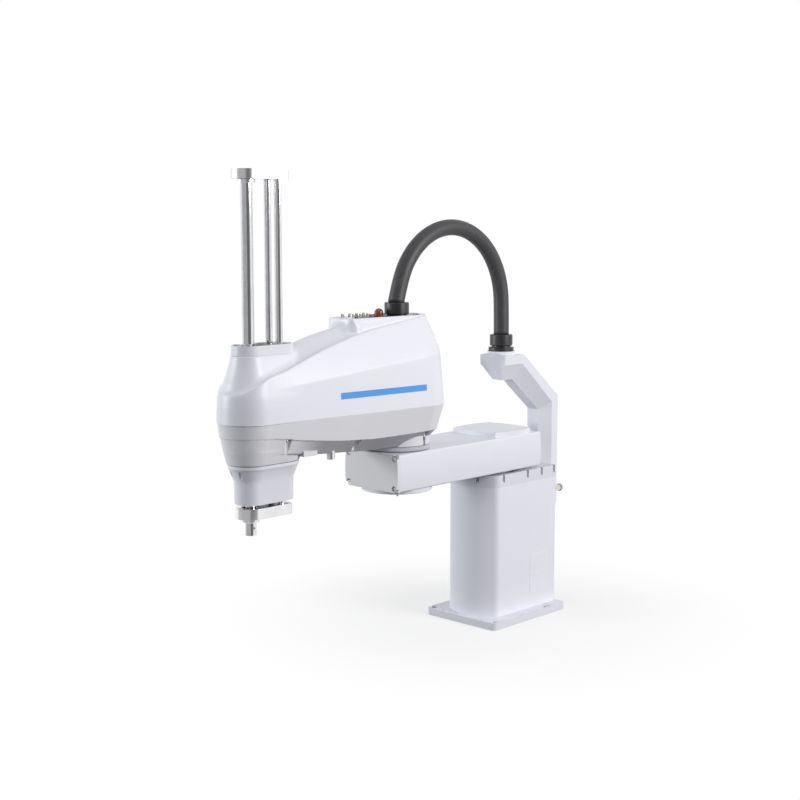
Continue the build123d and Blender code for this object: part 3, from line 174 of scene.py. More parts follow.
def rubber(name, colour, roughness):
    finish = Finish(name, specular_ior_level=0.42)
    cloud = finish.noise(14.0, 4.0)
    grain = finish.noise(2600.0, 2.0)
    scuff = finish.noise(70.0, 6.0, (1.0, 1.0, 0.25)).over(0.66, 0.16)
    dusty = tuple(min(1.0, 2.2 * c + 0.03) for c in colour)
    body = finish.mixed(cloud.over(0.5, 0.7) * 0.45, colour, tuple(1.5 * c for c in colour))
    finish.put("Base Color", finish.mixed(scuff * 0.35, body, dusty))
    finish.put("Roughness", roughness + 0.14 * (cloud - 0.5) + 0.12 * scuff)
    return finish.bump(grain * 0.7 + scuff * 0.2, 0.00012, 0.7)


HOSE_LINE = ((0.4380, 1.0186), (0.4178, 1.0933), (0.3776, 1.1571), (0.3195, 1.2052), (0.2495, 1.2331),
             (0.1742, 1.2380), (0.1012, 1.2193), (0.0374, 1.1791), (-0.0107, 1.1210), (-0.0386, 1.0510),
             (-0.0434, 0.9750), (-0.0435, 0.8993))
HOSE_D = 0.048

line_data = bpy.data.curves.new("hose_line", "CURVE")
line_data.dimensions = "3D"
line_data.resolution_u = 16
route = line_data.splines.new("NURBS")
route.points.add(len(HOSE_LINE) - 1)
for point, (x, z) in zip(route.points, HOSE_LINE):
    point.co = (x, 0.0, z, 1.0)
route.order_u = 3
route.use_endpoint_u = True
line = linked("hose_line", line_data)
bpy.context.view_layer.update()
line_mesh = bpy.data.meshes.new_from_object(line)
hose_path = [v.co.copy() for v in line_mesh.vertices]
bpy.data.objects.remove(line)


def tube(name, path, radius, sides=48):
    """smooth tube of quads along points in the plane of the links"""
    mesh = bpy.data.meshes.new(name)
    bm = bmesh.new()
    rings = []
    for i, centre in enumerate(path):
        ahead = (path[min(i + 1, len(path) - 1)] - path[max(i - 1, 0)]).normalized()
        side = Vector((0.0, 1.0, 0.0))
        up = side.cross(ahead)
        rings.append([bm.verts.new(centre + radius * (math.cos(a) * side + math.sin(a) * up))
                      for a in np.linspace(0.0, 2 * math.pi, sides, endpoint=False)])
    for low, high in zip(rings, rings[1:]):
        for k in range(sides):
            m = (k + 1) % sides
            bm.faces.new((low[k], low[m], high[m], high[k]))
    bm.faces.new(rings[0][::-1])
    bm.faces.new(rings[-1])
    bmesh.ops.recalc_face_normals(bm, faces=bm.faces)
    bm.to_mesh(mesh)
    bm.free()
    smooth(mesh)
    return mesh


hose_rubber = rubber("hose_rubber", (0.040, 0.040, 0.043), 0.50)
hose = finished(linked("cable_hose", tube("cable_hose", hose_path, HOSE_D / 2)), hose_rubber)
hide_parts("hose")
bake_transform(hose, "base", "arm_1", start=(-0.03, 0.0, 1.0), end=(0.40, 0.0, 1.0))


# Base: an aluminium casting of a column on a bolted flange, with a screwed cap, shot, primed and
# powder coated off-white. The coat is satin with a very fine orange peel.
def powder(name, colour, roughness=0.36, peel=0.5):
    finish = Finish(name, specular_ior_level=0.45)
    cloud = finish.noise(7.0, 3.0)
    haze = finish.noise(45.0, 5.0)
    orange = finish.noise(900.0, 1.5)
    warm = (colour[0] * 0.985, colour[1] * 0.975, colour[2] * 0.955)
    coat = finish.mixed(cloud.over(0.5, 0.6) * 0.6, colour, warm)
    finish.put("Base Color", coat)
    finish.put("Roughness", roughness + 0.10 * (haze - 0.5) + 0.05 * (cloud - 0.5))
    return finish.bump(orange * peel + haze * 0.15, 0.00010, 0.55)


# Edges that turn by more than the edge angle are rounded. Faces within the flat angle are joined first.
EDGE_ANGLE, FLAT_ANGLE = 28.0, 0.4
EDGE_STEPS, BROAD_STEPS = 3, 5


def eased(node, body, width, finish, broad=0.0, where=None):
    """rounded copy of a solid that stands for it and rides with its body"""
    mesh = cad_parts[node].data.copy()
    mesh.name = node + "_skin"
    for layer in [a for a in mesh.attributes if a.name == "custom_normal"]:
        mesh.attributes.remove(layer)
    bm = bmesh.new()
    bm.from_mesh(mesh)
    bmesh.ops.remove_doubles(bm, verts=bm.verts, dist=2e-6)
    bmesh.ops.dissolve_limit(bm, angle_limit=math.radians(FLAT_ANGLE), verts=bm.verts, edges=bm.edges)
    bm.to_mesh(mesh)
    bm.free()
    smooth(mesh)
    piece = finished(linked(node + "_skin", mesh), finish)
    if broad:
        weights = mesh.attributes.new("bevel_weight_edge", "FLOAT", "EDGE")
        weights.data.foreach_set("value", [float(all(where(mesh.vertices[v].co) for v in edge.vertices))
                                           for edge in mesh.edges])
        soft_edges = piece.modifiers.new("broad edges", "BEVEL")
        soft_edges.width = broad
        soft_edges.segments = BROAD_STEPS
        soft_edges.limit_method = "WEIGHT"
        soft_edges.use_clamp_overlap = False
    round_edges = piece.modifiers.new("rounded edges", "BEVEL")
    round_edges.width = width
    round_edges.segments = EDGE_STEPS
    round_edges.limit_method = "ANGLE"
    round_edges.angle_limit = math.radians(EDGE_ANGLE)
    round_edges.use_clamp_overlap = True
    even = piece.modifiers.new("even shading", "WEIGHTED_NORMAL")
    even.keep_sharp = True
    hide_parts(node)
    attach(piece, body)


def dressed(finish, *nodes):
    """gives solids that keep their own shape their finish"""
    for name in nodes:
        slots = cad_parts[name].material_slots
        for place in slots:
            place.link = "OBJECT"
            place.material = finish.material


def steel(name, colour, roughness, fine=1.0):
    finish = Finish(name, metallic=1.0)
    turning = finish.noise(900.0 * fine, 3.0, (1.0, 1.0, 0.06))
    stain = finish.noise(30.0, 4.0)
    dull = tuple(0.8 * c for c in colour)
    finish.put("Base Color", finish.mixed(stain.over(0.55, 0.5) * 0.5, colour, dull))
    finish.put("Roughness", roughness + 0.12 * (turning - 0.5) + 0.10 * (stain - 0.5))
    return finish.bump(turning, 0.00005, 0.35)


off_white = powder("powder_coat", (0.78, 0.785, 0.86))
screw_steel = steel("screw_steel", (0.62, 0.62, 0.63), 0.30)
eased("base_casting", "base", 0.0022, off_white)
eased("base_cap", "base", 0.0012, powder("cap_coat", (0.71, 0.715, 0.785)))
dressed(screw_steel, "cap_screws", "rear_screws")

# Plates on the column's side: printed foil labels left bare, glued flat in shallow places.
foil = Finish("blank_foil", specular_ior_level=0.55)
foil_cloud = foil.noise(160.0, 3.0)
foil.put("Base Color", foil.mixed(foil_cloud.over(0.5, 0.5) * 0.4, (0.80, 0.81, 0.84), (0.74, 0.75, 0.79)))
foil.put("Roughness", 0.28 + 0.10 * foil_cloud).bump(foil_cloud, 0.00004, 0.3)
dressed(foil, "blank_plates")

# Fittings behind the base: painted panel with power and signal sockets in black plastic, brass air
# ports with a nickel coat.
def moulded(name, colour, roughness):
    finish = Finish(name, specular_ior_level=0.5)
    cloud = finish.noise(40.0, 4.0)
    spark = finish.noise(1800.0, 2.0)
    pale = tuple(1.35 * c + 0.004 for c in colour)
    finish.put("Base Color", finish.mixed(cloud.over(0.55, 0.5) * 0.5, colour, pale))
    finish.put("Roughness", roughness + 0.12 * (cloud - 0.5))
    return finish.bump(spark, 0.00008, 0.6)


black_moulding = moulded("black_moulding", (0.028, 0.028, 0.031), 0.42)
nickel = steel("nickel_plate", (0.72, 0.69, 0.64), 0.20, 2.0)
eased("rear_panel", "base", 0.0008, off_white)
dressed(black_moulding, "rear_connectors")
dressed(nickel, "air_ports")

# Duct: welded sheet tube of a five-sided section that leads the cables up behind the first joint and
# leans over its axis, powder coated with the base. Its head carries the lower hose gland.
eased("hose_duct", "base", 0.0030, off_white)
gland_black = moulded("gland_black", (0.020, 0.020, 0.022), 0.36)
eased("duct_gland_body", "base", 0.0014, gland_black)
eased("duct_gland_nut", "base", 0.0030, gland_black)

# First link: a closed aluminium box casting with softly bulged sides, a screwed plate on its front
# end, a low lid over the first joint and a round cover under the second one.
ARM1_SIDE_Y, ARM1_LOW_Z, ARM1_HIGH_Z = 0.1030, 0.4820, 0.5905


def on_long_edge(p):
    """whether a corner of the box lies on one of its four long edges"""
    return abs(p.y) > ARM1_SIDE_Y and (p.z > ARM1_HIGH_Z or p.z < ARM1_LOW_Z)


eased("arm1_casting", "arm_1", 0.0012, off_white, broad=0.0065, where=on_long_edge)
end_paint = powder("end_plate_coat", (0.76, 0.76, 0.775), 0.40)
eased("arm1_end_plate", "arm_1", 0.0012, end_paint)
eased("j1_top_cover", "arm_1", 0.0022, off_white)
eased("j2_under_cover", "arm_1", 0.0015, off_white)
bright_screws = steel("bright_screws", (0.80, 0.80, 0.80), 0.16)
dressed(bright_screws, "arm1_screws")
dressed(screw_steel, "j1_output_flange", "j2_output_flange")

# Disc at the second joint: a turned aluminium ring, bolted to the flange of the joint. It closes the gap
# between the links. Its grey is painted shade, darker than the ring itself, standing for the shadow in that
# gap.
eased("j2_disc", "arm_2", 0.0010, powder("disc_painted_shade", (0.50, 0.50, 0.53)))

# Cover of the second link: a glass-filled plastic shell moulded in one piece, with a sloping shoulder,
# a raised turret over the joint and a tower round the shaft. Painted white with a plain blue stripe.
# Sizes of this section and the next are in millimetres, as they are in the solids.
TAIL, NOSE, RACE, JOINT_2 = 425.0, 1000.0, 904.0, 435.0
SEAM, TOWER_TOP, TURRET_TOP, TURRET_FLOOR = 725.0, 903.5, 985.0, 972.0
CREASE_Z, CREASE_FALL, ROOF_Z, ROOF_FALL = 870.0, 57.5, 1045.0, 204.0
TAIL_R, TAIL_CREASE_R, TAIL_ROOF_LOSS = 133.0, 120.5, 76.0
NOSE_R, NOSE_CREASE_R, NOSE_ROOF_LOSS = 85.0, 79.5, 3.5
CREASE_BLEND, NOSE_CREASE_BLEND, ROOF_LEVEL, ROOF_EDGE = 2.0, 1.0, 0.9, 1.2
TOWER_EDGE, WAIST_BLEND, TIP_BLEND, TURRET_EDGE, FLANK_EDGE, RECESS_EDGE = 2.0, 14.0, 2.0, 2.5, 1.0, 1.5
TURRET_R, TURRET_TIP_R, TURRET_TIP_X, TURRET_TIP_Y, TURRET_FLARE = 76.0, 23.0, 643.0, 32.0, 0.10
RECESS_R, RECESS_TIP_R, RECESS_TIP_X, RECESS_TIP_Y = 64.5, 19.0, 634.0, 28.0
FOOT_X, FOOT_RUN, FOOT_BLEND, FOOT_GROWTH, FOOT_MARGIN, FOOT_FADE = 520.0, 120.0, 3.0, 21.0, 12.0, 20.0
# The waist gives heights and the tower's radius at each. A station is a place along the link, the
# height of the roof's edge there and how far its crown stands over that edge.
WAIST = (np.array((770.0, 799.0, 815.0, 829.0, 848.0, 867.0, 885.0, 903.5, 940.0)),
         np.array((82.0, 78.5, 73.5, 69.0, 62.0, 56.0, 51.0, 47.5, 44.0)))
STATIONS = np.array(((270.0, 983.0, 2.0), (320.0, 983.0, 2.0), (393.0, 981.0, 3.0), (493.0, 968.0, 10.0),
                     (582.0, 955.0, 16.0), (667.0, 939.0, 22.0), (770.0, 913.5, 31.0), (816.0, 900.0, 33.0),
                     (870.0, 882.0, 32.0), (925.0, 864.0, 24.0), (1007.0, 840.0, 6.0), (1040.0, 821.0, 3.0),
                     (1075.0, 801.0, 2.0), (1110.0, 798.0, 1.0)))


def eased_row(x, places, values):
    """smooth curve through measured values"""
    slope = np.gradient(values, places)
    k = np.clip(np.searchsorted(places, x) - 1, 0, len(places) - 2)
    run = places[k + 1] - places[k]
    t = np.clip((x - places[k]) / run, 0.0, 1.0)
    a, b = values[k], values[k + 1]
    return (a * (1 + 2 * t) * (1 - t) ** 2 + b * t * t * (3 - 2 * t)
            + run * (slope[k] * t * (1 - t) ** 2 - slope[k + 1] * t * t * (1 - t)))


def soft_min(a, b, blend):
    h = np.clip(0.5 + 0.5 * (b - a) / blend, 0.0, 1.0)
    return b + (a - b) * h - blend * h * (1.0 - h)


def soft_max(a, b, blend):
    return -soft_min(-a, -b, blend)


def capsule(x, y, ax, ay, bx, by, ra, rb):
    """distance in plan from the outline round two circles of different radii"""
    length = math.hypot(bx - ax, by - ay)
    ux, uy = (bx - ax) / length, (by - ay) / length
    along = (x - ax) * ux + (y - ay) * uy
    off = np.abs(-(x - ax) * uy + (y - ay) * ux)
    lean = (ra - rb) / length
    flat = np.sqrt(np.maximum(1.0 - lean * lean, 1e-6))
    share = np.clip((along + off * lean / flat) / length, 0.0, 1.0)
    return np.hypot(along - share * length, off) - (ra + (rb - ra) * share)


def cover_field(x, y, z):
    """below zero inside the cover"""
    part = (x - TAIL) / (NOSE - TAIL)
    crease = CREASE_Z - CREASE_FALL * part
    roof = ROOF_Z - ROOF_FALL * part
    up = (z - SEAM) / (crease - SEAM)
    over = (z - crease) / (roof - crease)
    tail = soft_min(TAIL_R - (TAIL_R - TAIL_CREASE_R) * up, TAIL_CREASE_R - TAIL_ROOF_LOSS * over,
                    CREASE_BLEND)
    nose = soft_min(NOSE_R - (NOSE_R - NOSE_CREASE_R) * up, NOSE_CREASE_R - NOSE_ROOF_LOSS * over,
                    NOSE_CREASE_BLEND)
    side = capsule(x, y, TAIL, 0.0, NOSE, 0.0, tail, nose)
    edge = eased_row(x, STATIONS[:, 0], STATIONS[:, 1])
    crown = eased_row(x, STATIONS[:, 0], STATIONS[:, 2])
    rise = (edge - crease) / (roof - crease)
    wide_tail = TAIL_CREASE_R - TAIL_ROOF_LOSS * rise
    wide_nose = NOSE_CREASE_R - NOSE_ROOF_LOSS * rise
    half = wide_tail + (wide_nose - wide_tail) * np.clip(part, 0.0, 1.0)
    inner = np.clip(1.0 - np.abs(y) / half, 0.0, 1.0)
    bulge = inner * inner * (3.0 - 2.0 * inner)
    top = (z - edge - crown * bulge) * ROOF_LEVEL
    body = soft_max(side, top, ROOF_EDGE)
    waist = eased_row(z, *WAIST)
    tower = soft_max(capsule(x, y, RACE, 0.0, NOSE, 0.0, waist, waist), z - TOWER_TOP, TOWER_EDGE)
    body = soft_min(body, tower, WAIST_BLEND)
    side_y = np.abs(y)
    flare = TURRET_FLARE * np.maximum(TURRET_TOP - z, 0.0)
    tip = np.hypot(x - TURRET_TIP_X, np.maximum(side_y - TURRET_TIP_Y, 0.0)) - TURRET_TIP_R
    wall = soft_min(capsule(x, side_y, JOINT_2, 0.0, TURRET_TIP_X, TURRET_TIP_Y, TURRET_R, TURRET_TIP_R),
                    tip, TIP_BLEND) - flare
    turret = soft_max(soft_max(wall, side, FLANK_EDGE), z - TURRET_TOP, TURRET_EDGE)
    foot = np.clip((x - FOOT_X) / FOOT_RUN, 0.0, 1.0)
    clear = np.clip((half - side_y - FOOT_MARGIN) / FOOT_FADE, 0.0, 1.0)
    body = soft_min(body, turret, FOOT_BLEND + FOOT_GROWTH * foot * foot * clear)
    recess = np.maximum(capsule(x, side_y, JOINT_2, 0.0, RECESS_TIP_X, RECESS_TIP_Y, RECESS_R, RECESS_TIP_R),
                        TURRET_FLOOR - z)
    return soft_max(body, -recess, RECESS_EDGE)


def skin(field, low, high, cell, passes):
    """closed mesh of quads on the surface where the field is zero"""
    axes = [np.arange(a, b + cell, cell) for a, b in zip(low, high)]
    grid = np.meshgrid(*axes, indexing="ij")
    inside = field(*grid) < 0.0
    shape = inside.shape
    number = sum(inside[i:shape[0] - 1 + i, j:shape[1] - 1 + j, k:shape[2] - 1 + k].astype(np.int8)
                 for i in (0, 1) for j in (0, 1) for k in (0, 1))
    crossed = (number > 0) & (number < 8)
    index = np.full(crossed.shape, -1, dtype=np.int64)
    index[crossed] = np.arange(crossed.sum())
    points = np.argwhere(crossed) * cell + np.array(low) + cell / 2
    quads = []
    for axis in range(3):
        others = [a for a in range(3) if a != axis]
        first = np.take(inside, range(shape[axis] - 1), axis)
        second = np.take(inside, range(1, shape[axis]), axis)
        spots = np.argwhere(first != second)
        keep = np.all([(spots[:, o] >= 1) & (spots[:, o] <= shape[o] - 2) for o in others], axis=0)
        spots = spots[keep]
        outward = first[tuple(spots.T)]
        step = [np.eye(3, dtype=np.int64)[o] for o in others]
        ring = [index[tuple((spots - a).T)] for a in (step[0] + step[1], step[1], 0 * step[0], step[0])]
        faces = np.stack(ring, axis=1)
        flip = outward if axis == 1 else ~outward
        faces[flip] = faces[flip][:, ::-1]
        quads.append(faces)
    quads = np.concatenate(quads)

    nudge = 0.05

    def settle(p, turns):
        for _ in range(turns):
            value = field(*p.T)
            slope = np.stack([(field(*(p + nudge * e).T) - value) / nudge for e in np.eye(3)], axis=1)
            size = np.maximum((slope ** 2).sum(axis=1), 0.05)
            p = p - np.clip(value / size, -cell, cell)[:, None] * slope
        return p

    points = settle(points, 4)
    edges = np.concatenate([quads[:, [a, (a + 1) % 4]] for a in range(4)])
    for _ in range(passes):
        total = np.zeros_like(points)
        count = np.zeros(len(points))
        for a, b in ((0, 1), (1, 0)):
            np.add.at(total, edges[:, a], points[edges[:, b]])
            np.add.at(count, edges[:, a], 1.0)
        points = settle(0.4 * points + 0.6 * total / np.maximum(count, 1.0)[:, None], 2)
    return points, quads


COVER_LOW, COVER_HIGH = (284.0, -142.0, 716.0), (1096.0, 142.0, 992.0)
SHAFT_HOLE_R, SEAM_GAP = 41.5, 0.4


def walled(piece):
    """gives a modelled skin the wall of the real shell, 4 mm thick, on its inner side"""
    wall = piece.modifiers.new("wall", "SOLIDIFY")
    wall.thickness = 0.004
    wall.offset = -1.0


points, quads = skin(cover_field, COVER_LOW, COVER_HIGH, 3.0, 5)
shell = bpy.data.meshes.new("cover_shell")
shell.from_pydata((points / 1000.0).tolist(), [], quads.tolist())
bm = bmesh.new()
bm.from_mesh(shell)
bmesh.ops.bisect_plane(bm, geom=bm.verts[:] + bm.edges[:] + bm.faces[:], dist=1e-6,
                       plane_co=(0, 0, (SEAM + SEAM_GAP) / 1000), plane_no=(0, 0, 1), clear_inner=True)
opening = []
for face in bm.faces:
    at = face.calc_center_median() * 1000.0
    if (face.normal.z > 0.9 and TOWER_TOP - 1.0 < at.z < TOWER_TOP + 0.5
            and capsule(at.x, at.y, RACE, 0.0, NOSE, 0.0, SHAFT_HOLE_R, SHAFT_HOLE_R) < 0):
        opening.append(face)
bmesh.ops.delete(bm, geom=opening, context="FACES")
bm.to_mesh(shell)
bm.free()
smooth(shell)
STRIPE_REAR, STRIPE_FRONT, STRIPE_LOW, STRIPE_HIGH = 0.441, 0.758, 0.7715, 0.7895
cover_white = powder("cover_paint", (0.795, 0.80, 0.862), 0.38, 0.15)
lengthwise = cover_white.node("ShaderNodeSeparateXYZ", {}, {"Vector": cover_white.place()}, "X")
height = cover_white.node("ShaderNodeSeparateXYZ", {}, {"Vector": cover_white.place()}, "Z")
stripe = (lengthwise.over(STRIPE_REAR, 0.001) * (1 - lengthwise.over(STRIPE_FRONT, 0.001))
          * height.over(STRIPE_LOW, 0.0008) * (1 - height.over(STRIPE_HIGH, 0.0008)))
STRIPE_BLUE = (0.060, 0.300, 0.790)
cover_white.put("Base Color", cover_white.mixed(stripe, cover_white.given("Base Color"), STRIPE_BLUE))
cover = finished(linked("cover_shell", shell), cover_white)
walled(cover)
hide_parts("arm2_cover")
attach(cover, "arm_2")

# Frame of the second link: an aluminium casting, open at the top, wide at the joint and narrow at the
# shaft. Its side band leans over an undercut that has a notch round each cover screw, and a chin
# leads down to the neck. The undercut and the other downward faces carry painted shade, a darker
# grey that stands for the shadow under the band.
BAND_TAIL_R, BAND_NOSE_R, BAND_STEP = 111.0, 79.5, 1.0
INWARD, INWARD_LOSS, INWARD_CURVE = 36.0, 27.0, 1.6
FLOOR_EDGE, JOIN_BLEND, NOTCH_EDGE = 2.5, 2.0, 1.2
CHIN_R, CHIN_MAX_R, CHIN_FLARE, CHIN_LOW, CHIN_TOP = 61.5, 71.5, 0.27, 613.0, 655.0
BOSS_R, BOSS_LOW, BOSS_TOP = 97.0, 606.2, 650.0
NOTCH_X = (418.0, 686.0, 932.0)
NOTCH_HALF, NOTCH_LEAST, NOTCH_DRAFT, NOTCH_DROP = 9.5, 4.0, 0.15, 0.5
NOTCH_FALL, NOTCH_DEPTH, NOTCH_DEPTH_LOSS = 32.0, 33.0, 24.0
SCREW_Y, SCREW_Y_LOSS, SCREW_HOLE_R, SCREW_TOP, SCREW_RISE = 92.75, 23.5, 5.0, 641.0, 45.0
# Places along the link, with the heights of the undercut's upper and lower edge at them.
UNDERCUT_TOP = (np.array((300.0, 432.0, 498.0, 664.0, 738.0, 894.0, 1001.0, 1080.0)),
                np.array((650.0, 649.5, 648.5, 650.0, 655.0, 673.0, 687.0, 687.5)))
UNDERCUT_LOW = (np.array((300.0, 469.0, 601.0, 720.0, 826.0, 940.0, 1040.0, 1090.0)),
                np.array((611.0, 610.5, 611.0, 618.0, 625.0, 638.5, 652.0, 655.0)))


def frame_field(x, y, z):
    """below zero inside the frame"""
    part = (x - TAIL) / (NOSE - TAIL)
    floor_z = eased_row(x, *UNDERCUT_LOW)
    band_z = eased_row(x, *UNDERCUT_TOP)
    up = (z - band_z) / (SEAM - band_z)
    down = (band_z - z) / (band_z - floor_z)
    inward = INWARD - INWARD_LOSS * np.clip(part, 0.0, 1.06) ** INWARD_CURVE
    tail = np.where(up > 0.0, BAND_TAIL_R + (TAIL_R - BAND_TAIL_R) * up,
                    BAND_TAIL_R - BAND_STEP - inward * down)
    nose = np.where(up > 0.0, BAND_NOSE_R + (NOSE_R - BAND_NOSE_R) * up,
                    BAND_NOSE_R - BAND_STEP - inward * down)
    side = capsule(x, y, TAIL, 0.0, NOSE, 0.0, tail, nose)
    body = soft_max(side, floor_z - z, FLOOR_EDGE)
    lean = np.minimum(CHIN_R + CHIN_FLARE * (z - CHIN_LOW), CHIN_MAX_R)
    chin = soft_max(capsule(x, y, RACE, 0.0, NOSE, 0.0, lean - 1.5, lean), CHIN_LOW - z, FLOOR_EDGE)
    body = soft_min(body, np.maximum(chin, z - CHIN_TOP), JOIN_BLEND)
    boss = np.maximum(np.hypot(x - JOINT_2, y) - BOSS_R, BOSS_LOW - z)
    body = soft_min(body, np.maximum(boss, z - BOSS_TOP), JOIN_BLEND)
    for notch_x in NOTCH_X:
        share = max((notch_x - TAIL) / (NOSE - TAIL), 0.0)
        top_z = float(eased_row(np.array([notch_x]), *UNDERCUT_TOP)[0]) - NOTCH_DROP
        half = np.clip(NOTCH_HALF + NOTCH_DRAFT * (z - top_z), NOTCH_LEAST, NOTCH_HALF)
        deep = BAND_TAIL_R - NOTCH_FALL * share - (NOTCH_DEPTH - NOTCH_DEPTH_LOSS * share ** INWARD_CURVE)
        notch = soft_max(soft_max(np.abs(x - notch_x) - half, deep - np.abs(y), 2.0), z - top_z, 0.5)
        screw_y = SCREW_Y - SCREW_Y_LOSS * share
        bore = np.maximum(np.hypot(x - notch_x, np.abs(y) - screw_y) - SCREW_HOLE_R,
                          z - SCREW_TOP - SCREW_RISE * share)
        notch = np.minimum(notch, bore)
        body = soft_max(body, -notch, NOTCH_EDGE)
    return body


FRAME_LOW, FRAME_HIGH = (284.0, -142.0, 598.0), (1096.0, 142.0, 736.0)
JOINT_HOLE_R, NECK_HOLE_R = 90.0, 50.0

points, quads = skin(frame_field, FRAME_LOW, FRAME_HIGH, 2.5, 4)
casting = bpy.data.meshes.new("frame_casting")
casting.from_pydata((points / 1000.0).tolist(), [], quads.tolist())
bm = bmesh.new()
bm.from_mesh(casting)
bmesh.ops.bisect_plane(bm, geom=bm.verts[:] + bm.edges[:] + bm.faces[:], dist=1e-6,
                       plane_co=(0, 0, (SEAM - SEAM_GAP) / 1000), plane_no=(0, 0, 1), clear_outer=True)
through = []
for face in bm.faces:
    at = face.calc_center_median() * 1000.0
    at_joint = math.hypot(at.x - JOINT_2, at.y) < JOINT_HOLE_R
    at_neck = (at.z < CHIN_LOW + 1.5
               and capsule(at.x, at.y, RACE, 0.0, NOSE, 0.0, NECK_HOLE_R, NECK_HOLE_R) < 0)
    if face.normal.z < -0.9 and (at_joint or at_neck):
        through.append(face)
bmesh.ops.delete(bm, geom=through, context="FACES")
bm.to_mesh(casting)
bm.free()
smooth(casting)
# Painted shade: faces that turn downward past UNDER_TILT fade to a dark grey that stands for the shadow
# under the band.
UNDER_TILT, UNDER_RAMP = -0.42, 0.16
frame_white = powder("frame_coat", (0.75, 0.755, 0.79), 0.38)
facing = frame_white.node("ShaderNodeNewGeometry", {}, {}, "Normal")
tilt = frame_white.node("ShaderNodeSeparateXYZ", {}, {"Vector": facing}, "Z")
painted_under_shade = 1.0 - tilt.over(UNDER_TILT, UNDER_RAMP)
frame_white.put("Base Color", frame_white.mixed(painted_under_shade, frame_white.given("Base Color"), (0.36, 0.36, 0.39)))
frame_skin = finished(linked("frame_casting", casting), frame_white)
walled(frame_skin)
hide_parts("arm2_frame")
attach(frame_skin, "arm_2")
dressed(bright_screws, "cover_screws")

# Collar on the tower: a white moulded ring with a black wiper seal, which the shaft and both guide
# rods pass through.
eased("top_collar", "arm_2", 0.0014, cover_white)
dressed(black_moulding, "collar_seal", "neck_seal")

# Turret: black plate sunk in the top of the cover, with a hose gland, a dark lamp and push-in air
# fittings of nickelled brass.
dressed(black_moulding, "turret_panel")
eased("top_gland_body", "arm_2", 0.0014, gland_black)
eased("top_gland_nut", "arm_2", 0.0030, gland_black)
eased("air_fittings", "arm_2", 0.0006, nickel)
lens = Finish("lamp_lens", specular_ior_level=0.6)
lens_cloud = lens.noise(120.0, 2.0)
lens.put("Base Color", lens.mixed(lens_cloud, (0.16, 0.035, 0.022), (0.24, 0.06, 0.035)))
lens.put("Roughness", 0.12 + 0.1 * lens_cloud).bump(lens.noise(500.0, 1.0, (1.0, 1.0, 0.1)), 0.0001, 0.4)
dressed(lens, "lamp")

# Tool shaft and guide rods: hard-chromed ground bars. Both plates are polished aluminium with
# rounded edges, and carry the shaft in bearings between clamped collars.
chrome = steel("hard_chrome", (0.78, 0.785, 0.80), 0.07)
polished = steel("polished_aluminium", (0.84, 0.84, 0.85), 0.22)
dressed(chrome, "spline_shaft", "guide_rods")
eased("top_plate", "carriage", 0.0022, polished)
eased("bottom_plate", "carriage", 0.0022, polished)
eased("axis_collars", "shaft", 0.0012, polished)
dressed(screw_steel, "plate_screws", "axis_bearings")

# Neck under the second link: a painted casting that guides the rods, bolted up under the frame,
# with a wide flange, a cone and a straight wall.
eased("quill_neck", "arm_2", 0.0020, off_white)
dressed(screw_steel, "neck_screws")
eased("belly_plug", "arm_2", 0.0012, polished)
eased("belly_pad", "arm_2", 0.0010, frame_white)

# Drives inside the links: motors in black housings, toothed belts, ball nuts and their bearings,
# bronze rod bushes, and the deck on six posts that carries both small motors.
motor_black = moulded("motor_black", (0.035, 0.035, 0.038), 0.5)
belt_rubber = rubber("belt_rubber", (0.018, 0.018, 0.018), 0.6)
bronze = steel("bush_bronze", (0.58, 0.40, 0.20), 0.32)
dressed(motor_black, "j1_motor", "j1_reducer", "j2_motor", "j2_reducer", "z_motor", "r_motor")
dressed(belt_rubber, "z_belt", "r_belt")
dressed(screw_steel, "j1_bearing", "nut_bearings", "z_nut", "r_nut")
dressed(bronze, "rod_bushes")
turned = steel("turned_aluminium", (0.74, 0.74, 0.75), 0.28)
dressed(turned, "motor_deck", "deck_posts", "z_motor_pulley", "r_motor_pulley")


# Lamps: two large soft panels, one to the right of the camera that lights the long flank of both
# links, and one in front and to its left that fills the faces turned away from the first.
def lamp_panel(name, place, aim, size, power, colour):
    data = bpy.data.lights.new(name, "AREA")
    data.shape = "RECTANGLE"
    data.size, data.size_y = size
    data.energy = power
    data.color = colour
    panel = bpy.data.objects.new(name, data)
    bpy.context.scene.collection.objects.link(panel)
    panel.location = place
    panel.rotation_euler = (Vector(place) - Vector(aim)).to_track_quat("Z", "Y").to_euler()


lamp_panel("key_lamp", (-1.0, 4.7, 2.4), (0.4, 0.0, 0.75), (2.4, 2.0), 215.0, (1.0, 0.99, 0.98))
lamp_panel("fill_lamp", (4.9, -3.6, 1.7), (0.5, 0.0, 0.7), (2.4, 2.4), 205.0, (0.96, 0.98, 1.0))


# Sky: white for the camera, for what is seen through clear matter and for reflections, and a dim cool
# white for the light that it sheds.
def wired(tree, kind, inputs, out=0, **settings):
    """output of a new node whose inputs are joined to other outputs or hold a constant"""
    node = tree.nodes.new(kind)
    for key, value in settings.items():
        setattr(node, key, value)
    for key, value in inputs.items():
        if isinstance(value, bpy.types.NodeSocket):
            tree.links.new(value, node.inputs[key])
        else:
            node.inputs[key].default_value = value
    return node.outputs[out]


